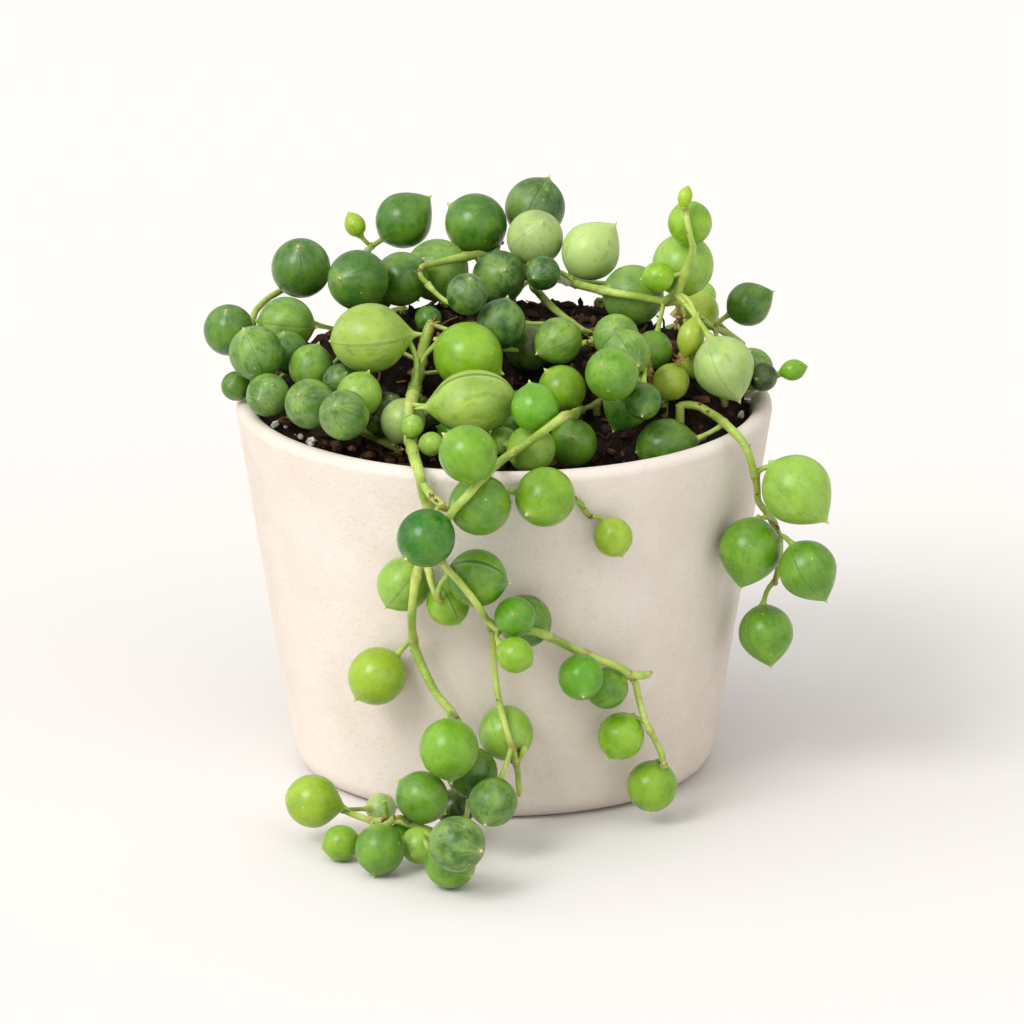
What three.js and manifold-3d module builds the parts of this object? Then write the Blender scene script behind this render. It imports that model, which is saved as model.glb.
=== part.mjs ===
// A potted string of pearls: a tapered ceramic pot filled with heaped soil, and the trailing strings of a
// succulent whose leaves are round pearls on short stalks. Millimetres, +Z up. The origin is the centre of
// the pot's flat base. The plant's front looks along -Y.
//
// The pearls and stems are laid down from the back to the front along lines of sight. Each has its place
// (u, v) in the front view, and its depth is as far back as the soil, the pot and what lies behind allow.
import * as THREE from "three";
import { mergeVertices } from "three/addons/utils/BufferGeometryUtils.js";
import Module from "manifold-3d";

const wasm = await Module();
wasm.setup();

// ---- Driving dimensions -------------------------------------------------------------------------------
const pot = {
  height: 60,
  rimRadius: 42.5,
  baseRadius: 33, // where the wall's slope would meet the floor, before the edge is rounded
  edgeRound: 4.5, // round between the wall and the base
  wall: 3,
  floor: 4,
  sides: 40,
};
const soil = {
  frontHeight: 52,
  heap: 15, // how much higher the soil is heaped at the back
  heapStart: -25, // depth at which the heap starts to rise, and at which it is full
  heapFull: 12,
  edgeStart: 29, // radius at which the heap starts to fall to the wall
  edgeFall: 0.56, // share of the heap that is gone at the wall
  lump: 0.45,
  sides: 30,
  rings: 9,
};
const innerRound = 3.5; // round between the pot's inner wall and its inner floor
const soilRound = 4.5; // the same round on the soil, a little larger
const soilEdge = 56; // height at which the soil's rings are drawn before they take their heights
const gap = 0.3; // clearance between pieces that touch
const slack = 1.16; // the soil slopes, so a ball sits a little higher on it than its radius

const stemRadius = 0.78;
const stemSides = 4;
const stemStep = 10; // distance in the front view between the points of a laid stem
const stemSpan = 3.8; // length of the straight stretches of a stem's solid
const stemPasses = 4; // rounds of smoothing, so that a stem hangs over what it crosses
const rootDepth = 5; // how far a stem goes down into its hole in the soil
const rootSides = 6;

const stalkRadius = 0.5;
const stalkSides = 3;
const stalkFoot = 0.86; // where a stalk starts inside its pearl, as a share of the pearl's half length
const stalkLean = 2.5; // how far a stalk goes straight back from its pearl before it bends
const stalkSpots = 8;
const bendTries = [0, 1.5, 3, 4.5, 6];
const bendTurns = 8;
const stemTries = 8;
const nearStalk = 30; // what lies further than this from a pearl isn't tested against its stalk

const pearlProfile = [[0, -1], [0.83, -0.56], [0.98, 0.2], [0.56, 0.82], [0, 1.1]]; // stalk end to blunt tip
const pearlSides = 7;
const smallPearl = 3.5; // pearls under this radius have one side fewer
const crownRadius = 43; // pearls of the crown stay within this circle
const crownBack = 36; // and no further back than this
const nearest = -85; // depth at which a line of sight is followed from
const depthStep = 0.25;

// The front view: where the eye is, and how large a millimetre looks.
const view = {
  aim: new THREE.Vector3(1.24, 0, 41),
  distance: 2500,
  elevation: THREE.MathUtils.degToRad(16.9),
  scale: 6.306,
  centre: 512,
};

// ---- The plant, as it shows in the front view ---------------------------------------------------------
// pearl(rank, u, v, width, extra): a low rank lies behind a high one. extra may hold tip: [u, v], long (its
// length over its width), from (its furthest depth, where the crown's circle isn't right) and inside (the
// depth that it has behind the front rim, or the nearest to it that is clear).
function pearl(rank, u, v, width, extra = {}) {
  return { rank, u, v, width, ...extra };
}

// stem(rank, points, extra): points are [u, v] or [u, v, from]. At root: [u, v] it goes down into the soil.
function stem(rank, points, extra = {}) {
  return { rank, points, ...extra };
}

const strings = [
  {
    name: "string_back_right",
    color: 0x5f8a4e,
    stems: [
      stem(2, [[530, 232], [527, 248], [525, 262], [528, 275]]),
      stem(6, [[528, 276], [533, 285], [545, 300], [558, 312], [575, 325], [590, 335], [597, 341]],
        { root: [597, 341] }),
    ],
    pearls: [
      pearl(0, 499, 272, 44),
      pearl(1, 535, 208, 63, { tip: [548, 179] }),
      pearl(3, 535, 238, 59),
      pearl(5, 499, 277, 56, { tip: [505, 271] }),
      pearl(6, 501, 324, 51, { tip: [508, 295] }),
      pearl(7, 558, 341, 49, { tip: [540, 352] }),
      pearl(5, 530, 348, 50),
    ],
  },
  {
    name: "string_back_middle",
    color: 0x6f9c52,
    stems: [
      stem(4, [[492, 300], [494, 278], [483, 256], [465, 257], [445, 261], [430, 265], [418, 270],
        [428, 285], [438, 298], [446, 307]], { root: [492, 300] }),
    ],
    pearls: [
      pearl(0, 437, 277, 46),
      pearl(2, 476, 224, 64, { tip: [451, 206] }),
      pearl(3, 437, 270, 65),
      pearl(8, 467, 294, 43, { tip: [470, 280] }),
    ],
  },
  {
    name: "string_top_right",
    color: 0x86b04e,
    stems: [
      stem(4, [[512, 298], [520, 286], [532, 278], [546, 276]], { root: [512, 298] }),
      stem(7, [[547, 276], [560, 279], [580, 285], [610, 292], [640, 297], [665, 302], [683, 303],
        [697, 315], [710, 325], [730, 335], [745, 345]]),
      stem(8, [[672, 302], [680, 285], [688, 265], [693, 250], [690, 235], [687, 220], [685, 208]]),
    ],
    pearls: [
      pearl(0, 633, 287, 44),
      pearl(0, 683, 274, 44),
      pearl(3, 591, 251, 61, { tip: [617, 222] }),
      pearl(4, 633, 295, 63),
      pearl(7, 543, 273, 36, { tip: [534, 278] }),
      pearl(3, 701, 296, 32),
      pearl(4, 697, 312, 46),
      pearl(5, 683, 265, 64),
      pearl(6, 690, 223, 46),
      pearl(6, 658, 277, 32),
      pearl(9, 685, 197, 15, { tip: [689, 184], long: 1.4 }),
      pearl(6, 749, 304, 46, { tip: [774, 291], from: 16 }),
      pearl(9, 691, 337, 28, { tip: [685, 357], long: 1.4 }),
      pearl(10, 724, 367, 63, { tip: [740, 403] }),
      pearl(6, 653, 350, 40, { from: -2 }),
      pearl(7, 694, 361, 36),
    ],
  },
  {
    name: "string_back_left",
    color: 0x4f8a3c,
    stems: [
      stem(4, [[356, 332, 22], [352, 300], [358, 278], [366, 253], [372, 246]], { root: [356, 332] }),
    ],
    pearls: [
      pearl(0, 401, 284, 44),
      pearl(0, 358, 286, 48),
      pearl(2, 404, 220, 59, { tip: [433, 194] }),
      pearl(2, 355, 225, 22, { tip: [348, 211], long: 1.15 }),
      pearl(3, 401, 279, 56),
      pearl(5, 358, 280, 63, { tip: [341, 279] }),
    ],
  },
  {
    name: "string_left",
    color: 0x6b9560,
    stems: [
      stem(2, [[306, 345, 16], [285, 340], [262, 335], [252, 322], [259, 307], [270, 297], [277, 293],
        [284, 289]], { root: [306, 345] }),
      stem(5, [[262, 335], [252, 352], [247, 372], [250, 386]]),
    ],
    pearls: [
      pearl(0, 301, 274, 48),
      pearl(3, 301, 268, 62, { tip: [299, 248] }),
      pearl(5, 229, 330, 53, { tip: [227, 312], from: 10 }),
      pearl(6, 286, 324, 57, { tip: [314, 327] }),
      pearl(6, 287, 352, 44, { tip: [284, 334] }),
      pearl(8, 256, 353, 56, { tip: [245, 331] }),
      pearl(7, 236, 386, 31),
      pearl(9, 268, 395, 45, { tip: [260, 399] }),
    ],
  },
  {
    name: "string_left_front",
    color: 0x7aa567,
    stems: [
      stem(5, [[398, 449], [385, 442], [368, 432], [350, 422], [334, 410], [324, 396], [322, 382],
        [330, 368]], { root: [398, 449] }),
    ],
    pearls: [
      pearl(6, 311, 367, 46, { tip: [319, 342] }),
      pearl(6, 340, 381, 36),
      pearl(8, 359, 395, 47, { tip: [368, 373] }),
      pearl(9, 310, 404, 52, { tip: [300, 395] }),
      pearl(10, 344, 415, 52, { tip: [336, 406] }),
      pearl(6, 385, 415, 48),
    ],
  },
  {
    name: "string_front_left",
    color: 0x8fbf4a,
    stems: [
      stem(9, [[431, 324], [427, 335], [424, 345], [418, 375], [413, 395], [409, 412], [409, 432, -18],
        [413, 452, -31], [416, 463, -39], [420, 475, -44.5], [424, 495], [430, 515], [428, 540],
        [418, 570], [413, 600], [412, 630], [415, 648], [424, 670], [437, 695], [450, 710], [457, 720]],
      { root: [413, 395] }),
      stem(9, [[424, 490], [437, 500], [446, 508]]),
      stem(9, [[427, 560], [432, 585], [438, 600]]),
    ],
    pearls: [
      pearl(6, 428, 319, 28),
      pearl(7, 370, 338, 72, { tip: [331, 341], long: 1.08 }),
      pearl(8, 468, 356, 70, { tip: [499, 372] }),
      pearl(9, 473, 402, 66, { tip: [515, 397], long: 1.28 }),
      pearl(7, 431, 416, 36),
      pearl(8, 403, 421, 46),
      pearl(11, 412, 426, 24),
      pearl(11, 431, 444, 25),
      pearl(13, 426, 538, 59, { tip: [408, 557] }),
      pearl(8, 404, 584, 55, { tip: [386, 607] }),
      pearl(8, 448, 604, 44, { tip: [458, 623] }),
      pearl(8, 477, 578, 59, { tip: [506, 583] }),
      pearl(10, 377, 676, 59, { tip: [355, 700] }),
      pearl(14, 449, 749, 61, { tip: [451, 780] }),
      pearl(8, 480, 505, 62),
    ],
  },
  {
    name: "string_front",
    color: 0x9cc552,
    stems: [
      stem(5, [[610, 398], [600, 402], [590, 407], [582, 409]], { root: [600, 402] }),
      stem(11, [[583, 411], [574, 414], [565, 416], [545, 430], [525, 445], [505, 458], [485, 475],
        [468, 495], [450, 515], [443, 540], [443, 563], [455, 577], [470, 595], [482, 612], [491, 630],
        [493, 650], [495, 675], [499, 700], [505, 725], [511, 745], [515, 758], [518, 775], [519, 796]]),
      stem(11, [[491, 630], [512, 630], [533, 631], [556, 640], [578, 651], [600, 660], [620, 668],
        [634, 680], [638, 695], [645, 720], [655, 740], [662, 755], [664, 765]]),
      stem(11, [[634, 680], [643, 675], [651, 673]]),
    ],
    pearls: [
      pearl(8, 562, 389, 49),
      pearl(9, 535, 408, 49, { tip: [529, 379] }),
      pearl(7, 573, 443, 50, { tip: [573, 438], inside: -22 }),
      pearl(7, 503, 441, 30),
      pearl(8, 531, 449, 50, { inside: -22 }),
      pearl(12, 468, 454, 59, { tip: [446, 436] }),
      pearl(8, 525, 621, 54),
      pearl(13, 515, 617, 42, { tip: [513, 614] }),
      pearl(13, 515, 655, 37, { tip: [531, 665] }),
      pearl(8, 506, 733, 56),
      pearl(9, 607, 688, 43),
      pearl(12, 581, 677, 47, { tip: [583, 695] }),
      pearl(10, 621, 736, 48, { tip: [608, 758] }),
      pearl(10, 652, 786, 52, { tip: [648, 810] }),
      pearl(12, 493, 802, 50),
    ],
  },
  {
    name: "string_end",
    color: 0x7fae50,
    stems: [
      stem(9, [[466, 822, -44], [450, 836, -50], [430, 832, -52], [410, 823, -50], [395, 820, -48],
        [375, 821, -47], [355, 815, -44], [343, 810, -42]]),
    ],
    pearls: [
      pearl(9, 472, 773, 53),
      pearl(10, 422, 797, 53, { tip: [397, 779] }),
      pearl(8, 381, 808, 31),
      pearl(8, 455, 808, 40),
      pearl(8, 396, 835, 35),
      pearl(10, 419, 845, 38),
      pearl(11, 380, 849, 51, { tip: [374, 875] }),
      pearl(10, 341, 843, 37, { tip: [322, 848] }),
      pearl(9, 313, 801, 55, { tip: [284, 795] }),
      pearl(11, 450, 863, 52, { tip: [470, 875] }),
      pearl(12, 457, 844, 57, { tip: [479, 850] }),
    ],
  },
  {
    name: "string_front_rim",
    color: 0x86c43c,
    stems: [
      stem(6, [[492, 441], [488, 449, -22], [484, 456, -31], [481, 463, -39], [483, 474, -45], [490, 484],
        [502, 490], [515, 492], [530, 494], [550, 495], [566, 496], [576, 499], [583, 508], [590, 517]],
      { root: [492, 441] }),
    ],
    pearls: [
      pearl(9, 545, 497, 61, { tip: [528, 513] }),
      pearl(9, 613, 537, 40, { tip: [623, 558] }),
    ],
  },
  {
    name: "string_right",
    color: 0x84ad45,
    stems: [
      stem(9, [[680, 405], [697, 406], [710, 413, -8], [718, 418, -13], [725, 424, -18], [737, 435, -24.5],
        [747, 450, -25.5], [752, 465, -24], [757, 485, -22], [758, 500, -21], [766, 512, -19],
        [775, 525, -17], [780, 545, -16], [779, 565, -16], [775, 582, -17]], { root: [680, 405] }),
    ],
    pearls: [
      pearl(8, 666, 446, 57, { long: 1.06, tip: [637, 452], inside: -20 }),
      pearl(10, 797, 490, 72, { tip: [830, 525], from: -14 }),
      pearl(10, 750, 550, 65, { tip: [740, 590], from: -18 }),
      pearl(10, 808, 570, 60, { tip: [826, 601], from: -12 }),
      pearl(10, 766, 633, 57, { tip: [771, 668], from: -16 }),
    ],
  },
  {
    name: "string_middle_right",
    color: 0x6fae52,
    stems: [
      stem(7, [[664, 402], [655, 385], [648, 368], [640, 355], [630, 345]], { root: [664, 402] }),
    ],
    pearls: [
      pearl(7, 616, 337, 48, { tip: [615, 328] }),
      pearl(8, 627, 353, 49, { tip: [637, 365] }),
      pearl(12, 612, 374, 55, { tip: [602, 365] }),
      pearl(8, 671, 382, 38, { tip: [664, 400] }),
      pearl(8, 627, 404, 50, { tip: [614, 430] }),
      pearl(9, 643, 401, 38, { tip: [642, 415] }),
    ],
  },
  {
    name: "string_right_edge",
    color: 0x5f9440,
    stems: [
      stem(7, [[724, 392], [742, 391], [756, 386], [768, 380], [776, 376], [783, 372]], { root: [724, 392] }),
    ],
    pearls: [
      pearl(7, 752, 369, 44),
      pearl(8, 763, 377, 30),
      pearl(9, 793, 370, 22, { tip: [806, 367], long: 1.2, from: 2 }),
    ],
  },
];

// Strings that hang over the back of the rim: angle round the pot, and how low they reach.
const backStrings = [
  { name: "string_behind_left", angle: 122, low: 24, pearls: 7, seed: 3 },
  { name: "string_behind", angle: 90, low: 12, pearls: 8, seed: 11 },
  { name: "string_behind_right", angle: 60, low: 32, pearls: 6, seed: 7 },
];

// ---- Lines of sight ----------------------------------------------------------------------------------
const forward = new THREE.Vector3(0, Math.cos(view.elevation), -Math.sin(view.elevation));
const upward = new THREE.Vector3(0, Math.sin(view.elevation), Math.cos(view.elevation));
const eye = view.aim.clone().addScaledVector(forward, -view.distance);

// The direction, with a depth of 1, of the line that shows at (u, v).
function sightLine(u, v) {
  const line = forward.clone().multiplyScalar(view.scale * view.distance);
  line.x += u - view.centre;
  line.addScaledVector(upward, view.centre - v);
  return line.divideScalar(line.y);
}

// The point at depth y on the line that shows at (u, v).
function sighted(u, v, y) {
  return eye.clone().addScaledVector(sightLine(u, v), y - eye.y);
}

function smooth(t) {
  const k = Math.min(1, Math.max(0, t));
  return k * k * (3 - 2 * k);
}

// ---- Pot and soil as heights and distances -----------------------------------------------------------
const slope = (pot.rimRadius - pot.baseRadius) / pot.height;
const tilt = Math.atan(slope);
const lip = { r: pot.rimRadius - pot.wall / 2, z: pot.height - pot.wall / 2, radius: pot.wall / 2 };

function outerRadius(z) {
  return pot.baseRadius + slope * z;
}

function innerRadius(z) {
  return outerRadius(z) - pot.wall / Math.cos(tilt);
}

function soilHeight(x, y) {
  const heaped = soil.heap * smooth((y - soil.heapStart) / (soil.heapFull - soil.heapStart));
  const edgeWidth = innerRadius(pot.height) - soil.edgeStart;
  const edge = 1 - soil.edgeFall * smooth((Math.hypot(x, y) - soil.edgeStart) / edgeWidth);
  const broad = Math.sin(0.71 * x + 0.4 * y) + Math.sin(0.63 * y - 0.35 * x + 1.3);
  const fine = 0.6 * Math.sin(1.3 * x - 0.9 * y);
  return soil.frontHeight + heaped * edge + soil.lump * (broad + fine);
}

// Whether a ball clears the filled pot, its soil and the surface that it stands on.
function clearOfPot(p, radius) {
  if (p.z < radius) return false;
  const reach = radius + gap;
  const out = Math.hypot(p.x, p.y);
  if (Math.hypot(out - lip.r, p.z - lip.z) < reach + lip.radius) return false;
  if (out > lip.r) {
    const wallGap = (out - outerRadius(p.z)) * Math.cos(tilt);
    return p.z > pot.height || wallGap >= reach;
  }
  return p.z - soilHeight(p.x, p.y) >= slack * radius + gap;
}

// ---- Laying pearls and stems -------------------------------------------------------------------------
const placed = []; // balls that stand for all that is laid: { p, r, owner }

function place(p, r, owner) {
  placed.push({ p, r, owner });
}

function crownDepth(u, v) {
  const x = sighted(u, v, 0).x;
  return Math.min(crownBack, Math.sqrt(Math.max(0, crownRadius ** 2 - x ** 2)));
}

// How far back a ball can be seen, before the pot, the soil or the floor hides it.
function sightEnd(u, v, radius, furthest) {
  let y = nearest;
  while (y + depthStep <= furthest && clearOfPot(sighted(u, v, y + depthStep), radius)) y += depthStep;
  return y;
}

// From behind the front rim towards the eye, until it clears the soil.
function insideEnd(u, v, radius, inside) {
  let y = inside;
  while (!clearOfPot(sighted(u, v, y), radius)) y -= depthStep;
  return y;
}

// The nearest depth at which a ball on a line of sight would touch a placed ball, or Infinity.
function touchDepth(u, v, radius, ball) {
  const line = sightLine(u, v);
  const start = eye.clone().addScaledVector(line, -eye.y).sub(ball.p);
  const reach = radius + ball.r + gap;
  const a = line.lengthSq();
  const b = start.dot(line);
  const inside = b * b - a * (start.lengthSq() - reach * reach);
  return inside > 0 ? (-b - Math.sqrt(inside)) / a : Infinity;
}

// As far back as it goes in front of what is laid already.
function settle(u, v, radius, { from = crownDepth(u, v), inside }) {
  const end = inside === undefined ? sightEnd(u, v, radius, from) : insideEnd(u, v, radius, inside);
  return placed.reduce((y, ball) => Math.min(y, touchDepth(u, v, radius, ball)), end);
}

// The direction of a pearl's tip, from where the tip shows.
function tipAxis(item, long) {
  const side = (item.tip[0] - item.u) / (item.width / 2) / long;
  const rise = (item.v - item.tip[1]) / (item.width / 2) / long;
  const facing = Math.sqrt(Math.max(0, 1 - side * side - rise * rise));
  const axis = upward.clone().multiplyScalar(rise).addScaledVector(forward, -facing);
  axis.x += side;
  return axis.normalize();
}

function layPearl(owner, item) {
  const radius = item.width / 2 / view.scale;
  const long = item.long || 1;
  const y = settle(item.u, item.v, radius * Math.sqrt(long), item);
  const centre = sighted(item.u, item.v, y);
  const axis = item.tip ? tipAxis(item, long) : null;
  for (const way of long > 1 ? [-1, 1] : [0]) {
    const p = centre.clone();
    if (way) p.addScaledVector(axis, way * radius * (long - 1));
    place(p, radius, owner);
  }
  owner.laidPearls.push({ centre, radius, long, axis });
}

function nearestPoint(points, p) {
  return points.reduce((best, q) => (q.distanceTo(p) < best.distanceTo(p) ? q : best));
}

function nearestShown(spots, u, v) {
  const away = (q) => Math.hypot(q[0] - u, q[1] - v);
  return spots.reduce((best, q) => (away(q) < away(best) ? q : best));
}

function spineOf(owner) {
  return owner.laidStems.flatMap((laid) => laid.spine);
}

// The places of a stem in the front view, each with its depth: [u, v, y].
function stemSpots(item) {
  const flat = item.points.map(([u, v]) => new THREE.Vector3(u, v, 0));
  const route = new THREE.CatmullRomCurve3(flat, false, "centripetal");
  const count = Math.max(2, Math.round(route.getLength() / stemStep));
  const spots = [];
  for (let i = 0; i <= count; i += 1) {
    const at = route.getPointAt(i / count);
    const from = nearestShown(item.points, at.x, at.y)[2];
    spots.push([at.x, at.y, settle(at.x, at.y, stemRadius, { from })]);
  }
  for (let pass = 0; pass < stemPasses; pass += 1) {
    for (let i = 1; i < count; i += 1) {
      const level = (spots[i - 1][2] + 2 * spots[i][2] + spots[i + 1][2]) / 4;
      spots[i][2] = Math.min(spots[i][2], level);
    }
  }
  return spots;
}

function layStem(owner, item) {
  const spots = stemSpots(item);
  const points = spots.map((spot) => sighted(...spot));
  if (owner.laidStems.length) points[0] = nearestPoint(spineOf(owner), points[0]).clone();
  const rooted = item.root && sighted(...nearestShown(spots, ...item.root));
  layTube(owner, points, rooted);
}

// A stem's spine is the straight stretches that its solid is made of. It may have a root below one point.
function layTube(owner, points, rooted) {
  const path = new THREE.CatmullRomCurve3(points, false, "centripetal");
  const steps = Math.max(2, Math.round(path.getLength() / stemSpan));
  const spine = path.getSpacedPoints(steps);
  path.getSpacedPoints(steps * 3).forEach((p) => place(p, stemRadius, owner));
  owner.laidStems.push({ path, steps, spine, root: rooted ? nearestPoint(spine, rooted) : null });
  return path;
}

// ---- Strings at the back, by rule ---------------------------------------------------------------------
const back = {
  start: 30, // radius at which the string starts on the soil
  hangs: 10, // points of the hanging stretch
  sway: 0.07,
  standOff: 2.1, // from the wall to the middle of the stem
  firstPearl: 0.26, // share of the string before its first pearl
  smallest: 3.5,
  spread: 1.3, // how much larger a pearl may be
};

function randomFrom(seed) {
  let state = seed;
  return () => {
    state = (state * 16807) % 2147483647;
    return state / 2147483647;
  };
}

function polar(angle, radius, z) {
  return new THREE.Vector3(radius * Math.cos(angle), radius * Math.sin(angle), z);
}

function backRoute(plan) {
  const angle = THREE.MathUtils.degToRad(plan.angle);
  const start = polar(angle, back.start, 0);
  const points = [
    start.setZ(soilHeight(start.x, start.y) + stemRadius + gap),
    polar(angle, pot.rimRadius - 5.5, pot.height + 4.2),
    polar(angle, pot.rimRadius - 1, pot.height + stemRadius + gap + 0.5),
    polar(angle, pot.rimRadius + 1.6, pot.height - 2.2),
  ];
  const top = pot.height - 3;
  for (let i = 1; i <= back.hangs; i += 1) {
    const z = top - (i / back.hangs) * (top - plan.low);
    const sway = back.sway * Math.sin(i * 1.1 + plan.seed);
    points.push(polar(angle + sway, outerRadius(z) + back.standOff, z));
  }
  return points;
}

// A pearl beside the stem, moved away from the wall until it is clear.
function layBesideWall(owner, at, side, random) {
  const radius = back.smallest + back.spread * random();
  const step = (side * (radius + 0.6 + 0.8 * random())) / Math.hypot(at.x, at.y);
  const turn = Math.atan2(at.y, at.x) + step;
  const z = Math.max(radius + 0.2, at.z - 1.5 * random());
  let out = outerRadius(z) + radius / Math.cos(tilt) + gap + 0.1;
  let centre = polar(turn, out, z);
  while (placed.some((ball) => ball.p.distanceTo(centre) < ball.r + radius + gap)) {
    out += gap;
    centre = polar(turn, out, z);
  }
  place(centre, radius, owner);
  owner.laidPearls.push({ centre, radius, long: 1, axis: null });
}

function layBackString(owner, plan) {
  const random = randomFrom(plan.seed);
  const points = backRoute(plan);
  const route = layTube(owner, points, points[0]);
  for (let i = 0; i < plan.pearls; i += 1) {
    const share = back.firstPearl + ((1 - back.firstPearl) * (i + 0.6)) / plan.pearls;
    layBesideWall(owner, route.getPointAt(share), i % 2 ? 1 : -1, random);
  }
}

// ---- Stalks: from a pearl to its stem, bent clear of the rest ------------------------------------------
function clearance(spots, others) {
  let worst = Infinity;
  for (const spot of spots) {
    for (const ball of others) {
      worst = Math.min(worst, spot.distanceTo(ball.p) - ball.r - stalkRadius - gap);
    }
  }
  return worst;
}

// The curves that a stalk may take from the pearl's foot to one point of the stem, the straightest first.
function stalkCurves(foot, end, axis) {
  const span = end.clone().sub(foot);
  const lean = axis.clone().multiplyScalar(-Math.min(stalkLean, span.length() / 3));
  const across = new THREE.Vector3(-span.z, 0, span.x).normalize();
  const over = span.clone().cross(across).normalize();
  const curves = [];
  for (const size of bendTries) {
    for (let k = 0; k < (size ? bendTurns : 1); k += 1) {
      const turn = (k / bendTurns) * 2 * Math.PI;
      const middle = foot.clone().addScaledVector(span, 0.4).add(lean);
      middle.addScaledVector(across, size * Math.cos(turn)).addScaledVector(over, size * Math.sin(turn));
      const curve = new THREE.QuadraticBezierCurve3(foot, middle, end);
      curves.push({ curve, cost: 0.02 * size + 0.04 * span.length() });
    }
  }
  return curves;
}

// The first clear stalk, or else the one that is least in the way.
function chooseStalk(curves, others) {
  let best = null;
  for (const { curve, cost } of curves) {
    const spots = curve.getPoints(stalkSpots);
    const potClear = spots.slice(0, -2).every((s) => clearOfPot(s, stalkRadius));
    const clear = clearance(spots, others);
    if (potClear && clear > 0) return curve;
    const score = clear - (potClear ? 0 : 2) - cost;
    if (!best || score > best.score) best = { curve, score };
  }
  return best.curve;
}

function layStalk(owner, laid) {
  const away = (p) => p.distanceTo(laid.centre);
  const ends = spineOf(owner).sort((a, b) => away(a) - away(b));
  if (!laid.axis) laid.axis = laid.centre.clone().sub(ends[0]).normalize();
  const others = placed.filter((ball) => ball.owner !== owner && away(ball.p) < nearStalk);
  const foot = laid.centre.clone().addScaledVector(laid.axis, -laid.radius * laid.long * stalkFoot);
  const curves = ends.slice(0, stemTries).flatMap((end) => stalkCurves(foot, end, laid.axis));
  laid.stalk = chooseStalk(curves, others);
  laid.stalk.getPoints(stalkSpots).forEach((p) => place(p, stalkRadius, owner));
}

// ---- Laying everything, from the back to the front ----------------------------------------------------
const backColor = 0x5c9148;
const owners = strings.map((string) => ({ ...string, laidPearls: [], laidStems: [] }));
const queue = owners.flatMap((owner) => [
  ...owner.stems.map((item) => ({ owner, item, lay: layStem })),
  ...owner.pearls.map((item) => ({ owner, item, lay: layPearl })),
]);
queue.sort((a, b) => a.item.rank - b.item.rank);
queue.forEach(({ owner, item, lay }) => lay(owner, item));
backStrings.forEach((plan) => {
  const owner = { name: plan.name, color: backColor, laidPearls: [], laidStems: [] };
  layBackString(owner, plan);
  owners.push(owner);
});
owners.forEach((owner) => owner.laidPearls.forEach((laid) => layStalk(owner, laid)));
const roots = owners.flatMap((owner) => owner.laidStems).map((laid) => laid.root).filter(Boolean);

// ---- Solids --------------------------------------------------------------------------------------------
function solidFrom(geometry) {
  geometry.deleteAttribute("normal");
  geometry.deleteAttribute("uv");
  const merged = mergeVertices(geometry, 1e-4);
  return new wasm.Manifold(new wasm.Mesh({
    numProp: 3,
    vertProperties: new Float32Array(merged.attributes.position.array),
    triVerts: new Uint32Array(merged.index.array),
  }));
}

function geometryFrom(solid) {
  const mesh = solid.getMesh();
  const geometry = new THREE.BufferGeometry();
  geometry.setAttribute("position", new THREE.BufferAttribute(mesh.vertProperties, 3));
  geometry.setIndex(new THREE.BufferAttribute(mesh.triVerts, 1));
  geometry.computeVertexNormals();
  return geometry;
}

function section(radius, sides) {
  const corners = [];
  for (let i = 0; i < sides; i += 1) {
    const turn = (i / sides) * 2 * Math.PI;
    corners.push(new THREE.Vector2(radius * Math.cos(turn), radius * Math.sin(turn)));
  }
  return new THREE.Shape(corners);
}

function tube(path, radius, sides, steps) {
  const options = { steps, extrudePath: path, bevelEnabled: false };
  return solidFrom(new THREE.ExtrudeGeometry(section(radius, sides), options));
}

// A round leaf, from its stalk end to the blunt point at its tip.
function pearlSolid(laid) {
  const { radius, long } = laid;
  const points = pearlProfile.map(([r, h]) => new THREE.Vector2(r * radius, h * radius * long));
  const sides = radius < smallPearl ? pearlSides - 1 : pearlSides;
  const geometry = new THREE.LatheGeometry(points, sides);
  const turn = new THREE.Quaternion().setFromUnitVectors(new THREE.Vector3(0, 1, 0), laid.axis);
  geometry.applyQuaternion(turn).translate(laid.centre.x, laid.centre.y, laid.centre.z);
  return solidFrom(geometry);
}

// An upright rod from one height to another, at the place of a root.
function rodSolid(top, radius, low, high) {
  const geometry = new THREE.CylinderGeometry(radius, radius, high - low, rootSides);
  geometry.rotateX(Math.PI / 2).translate(top.x, top.y, (low + high) / 2);
  return solidFrom(geometry);
}

function rootEnd(top) {
  return Math.min(top.z, soilHeight(top.x, top.y)) - rootDepth;
}

function rootSolid(top) {
  return rodSolid(top, stemRadius, rootEnd(top), top.z);
}

function rootHole(top) {
  const above = 8; // well over the soil round the hole
  return rodSolid(top, stemRadius + gap, rootEnd(top) - gap, top.z + above);
}

function stringSolid(owner) {
  const pieces = owner.laidStems.map(({ path, steps }) => tube(path, stemRadius, stemSides, steps));
  owner.laidStems.filter((laid) => laid.root).forEach((laid) => pieces.push(rootSolid(laid.root)));
  owner.laidPearls.forEach((laid) => {
    pieces.push(pearlSolid(laid));
    pieces.push(tube(laid.stalk, stalkRadius, stalkSides, 2));
  });
  return pieces.reduce((all, piece) => all.add(piece));
}

// ---- Meshes --------------------------------------------------------------------------------------------
function finish(color, roughness) {
  return new THREE.MeshStandardMaterial({ color, roughness, metalness: 0 });
}

function namedMesh(name, geometry, material) {
  const mesh = new THREE.Mesh(geometry, material);
  mesh.name = name;
  return mesh;
}

// An arc of a profile, as points on a circle.
function arc(x, y, radius, startDegrees, endDegrees, count) {
  const points = [];
  for (let i = 0; i <= count; i += 1) {
    const turn = THREE.MathUtils.degToRad(startDegrees + ((endDegrees - startDegrees) * i) / count);
    points.push(new THREE.Vector2(x + radius * Math.cos(turn), y + radius * Math.sin(turn)));
  }
  return points;
}

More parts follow.
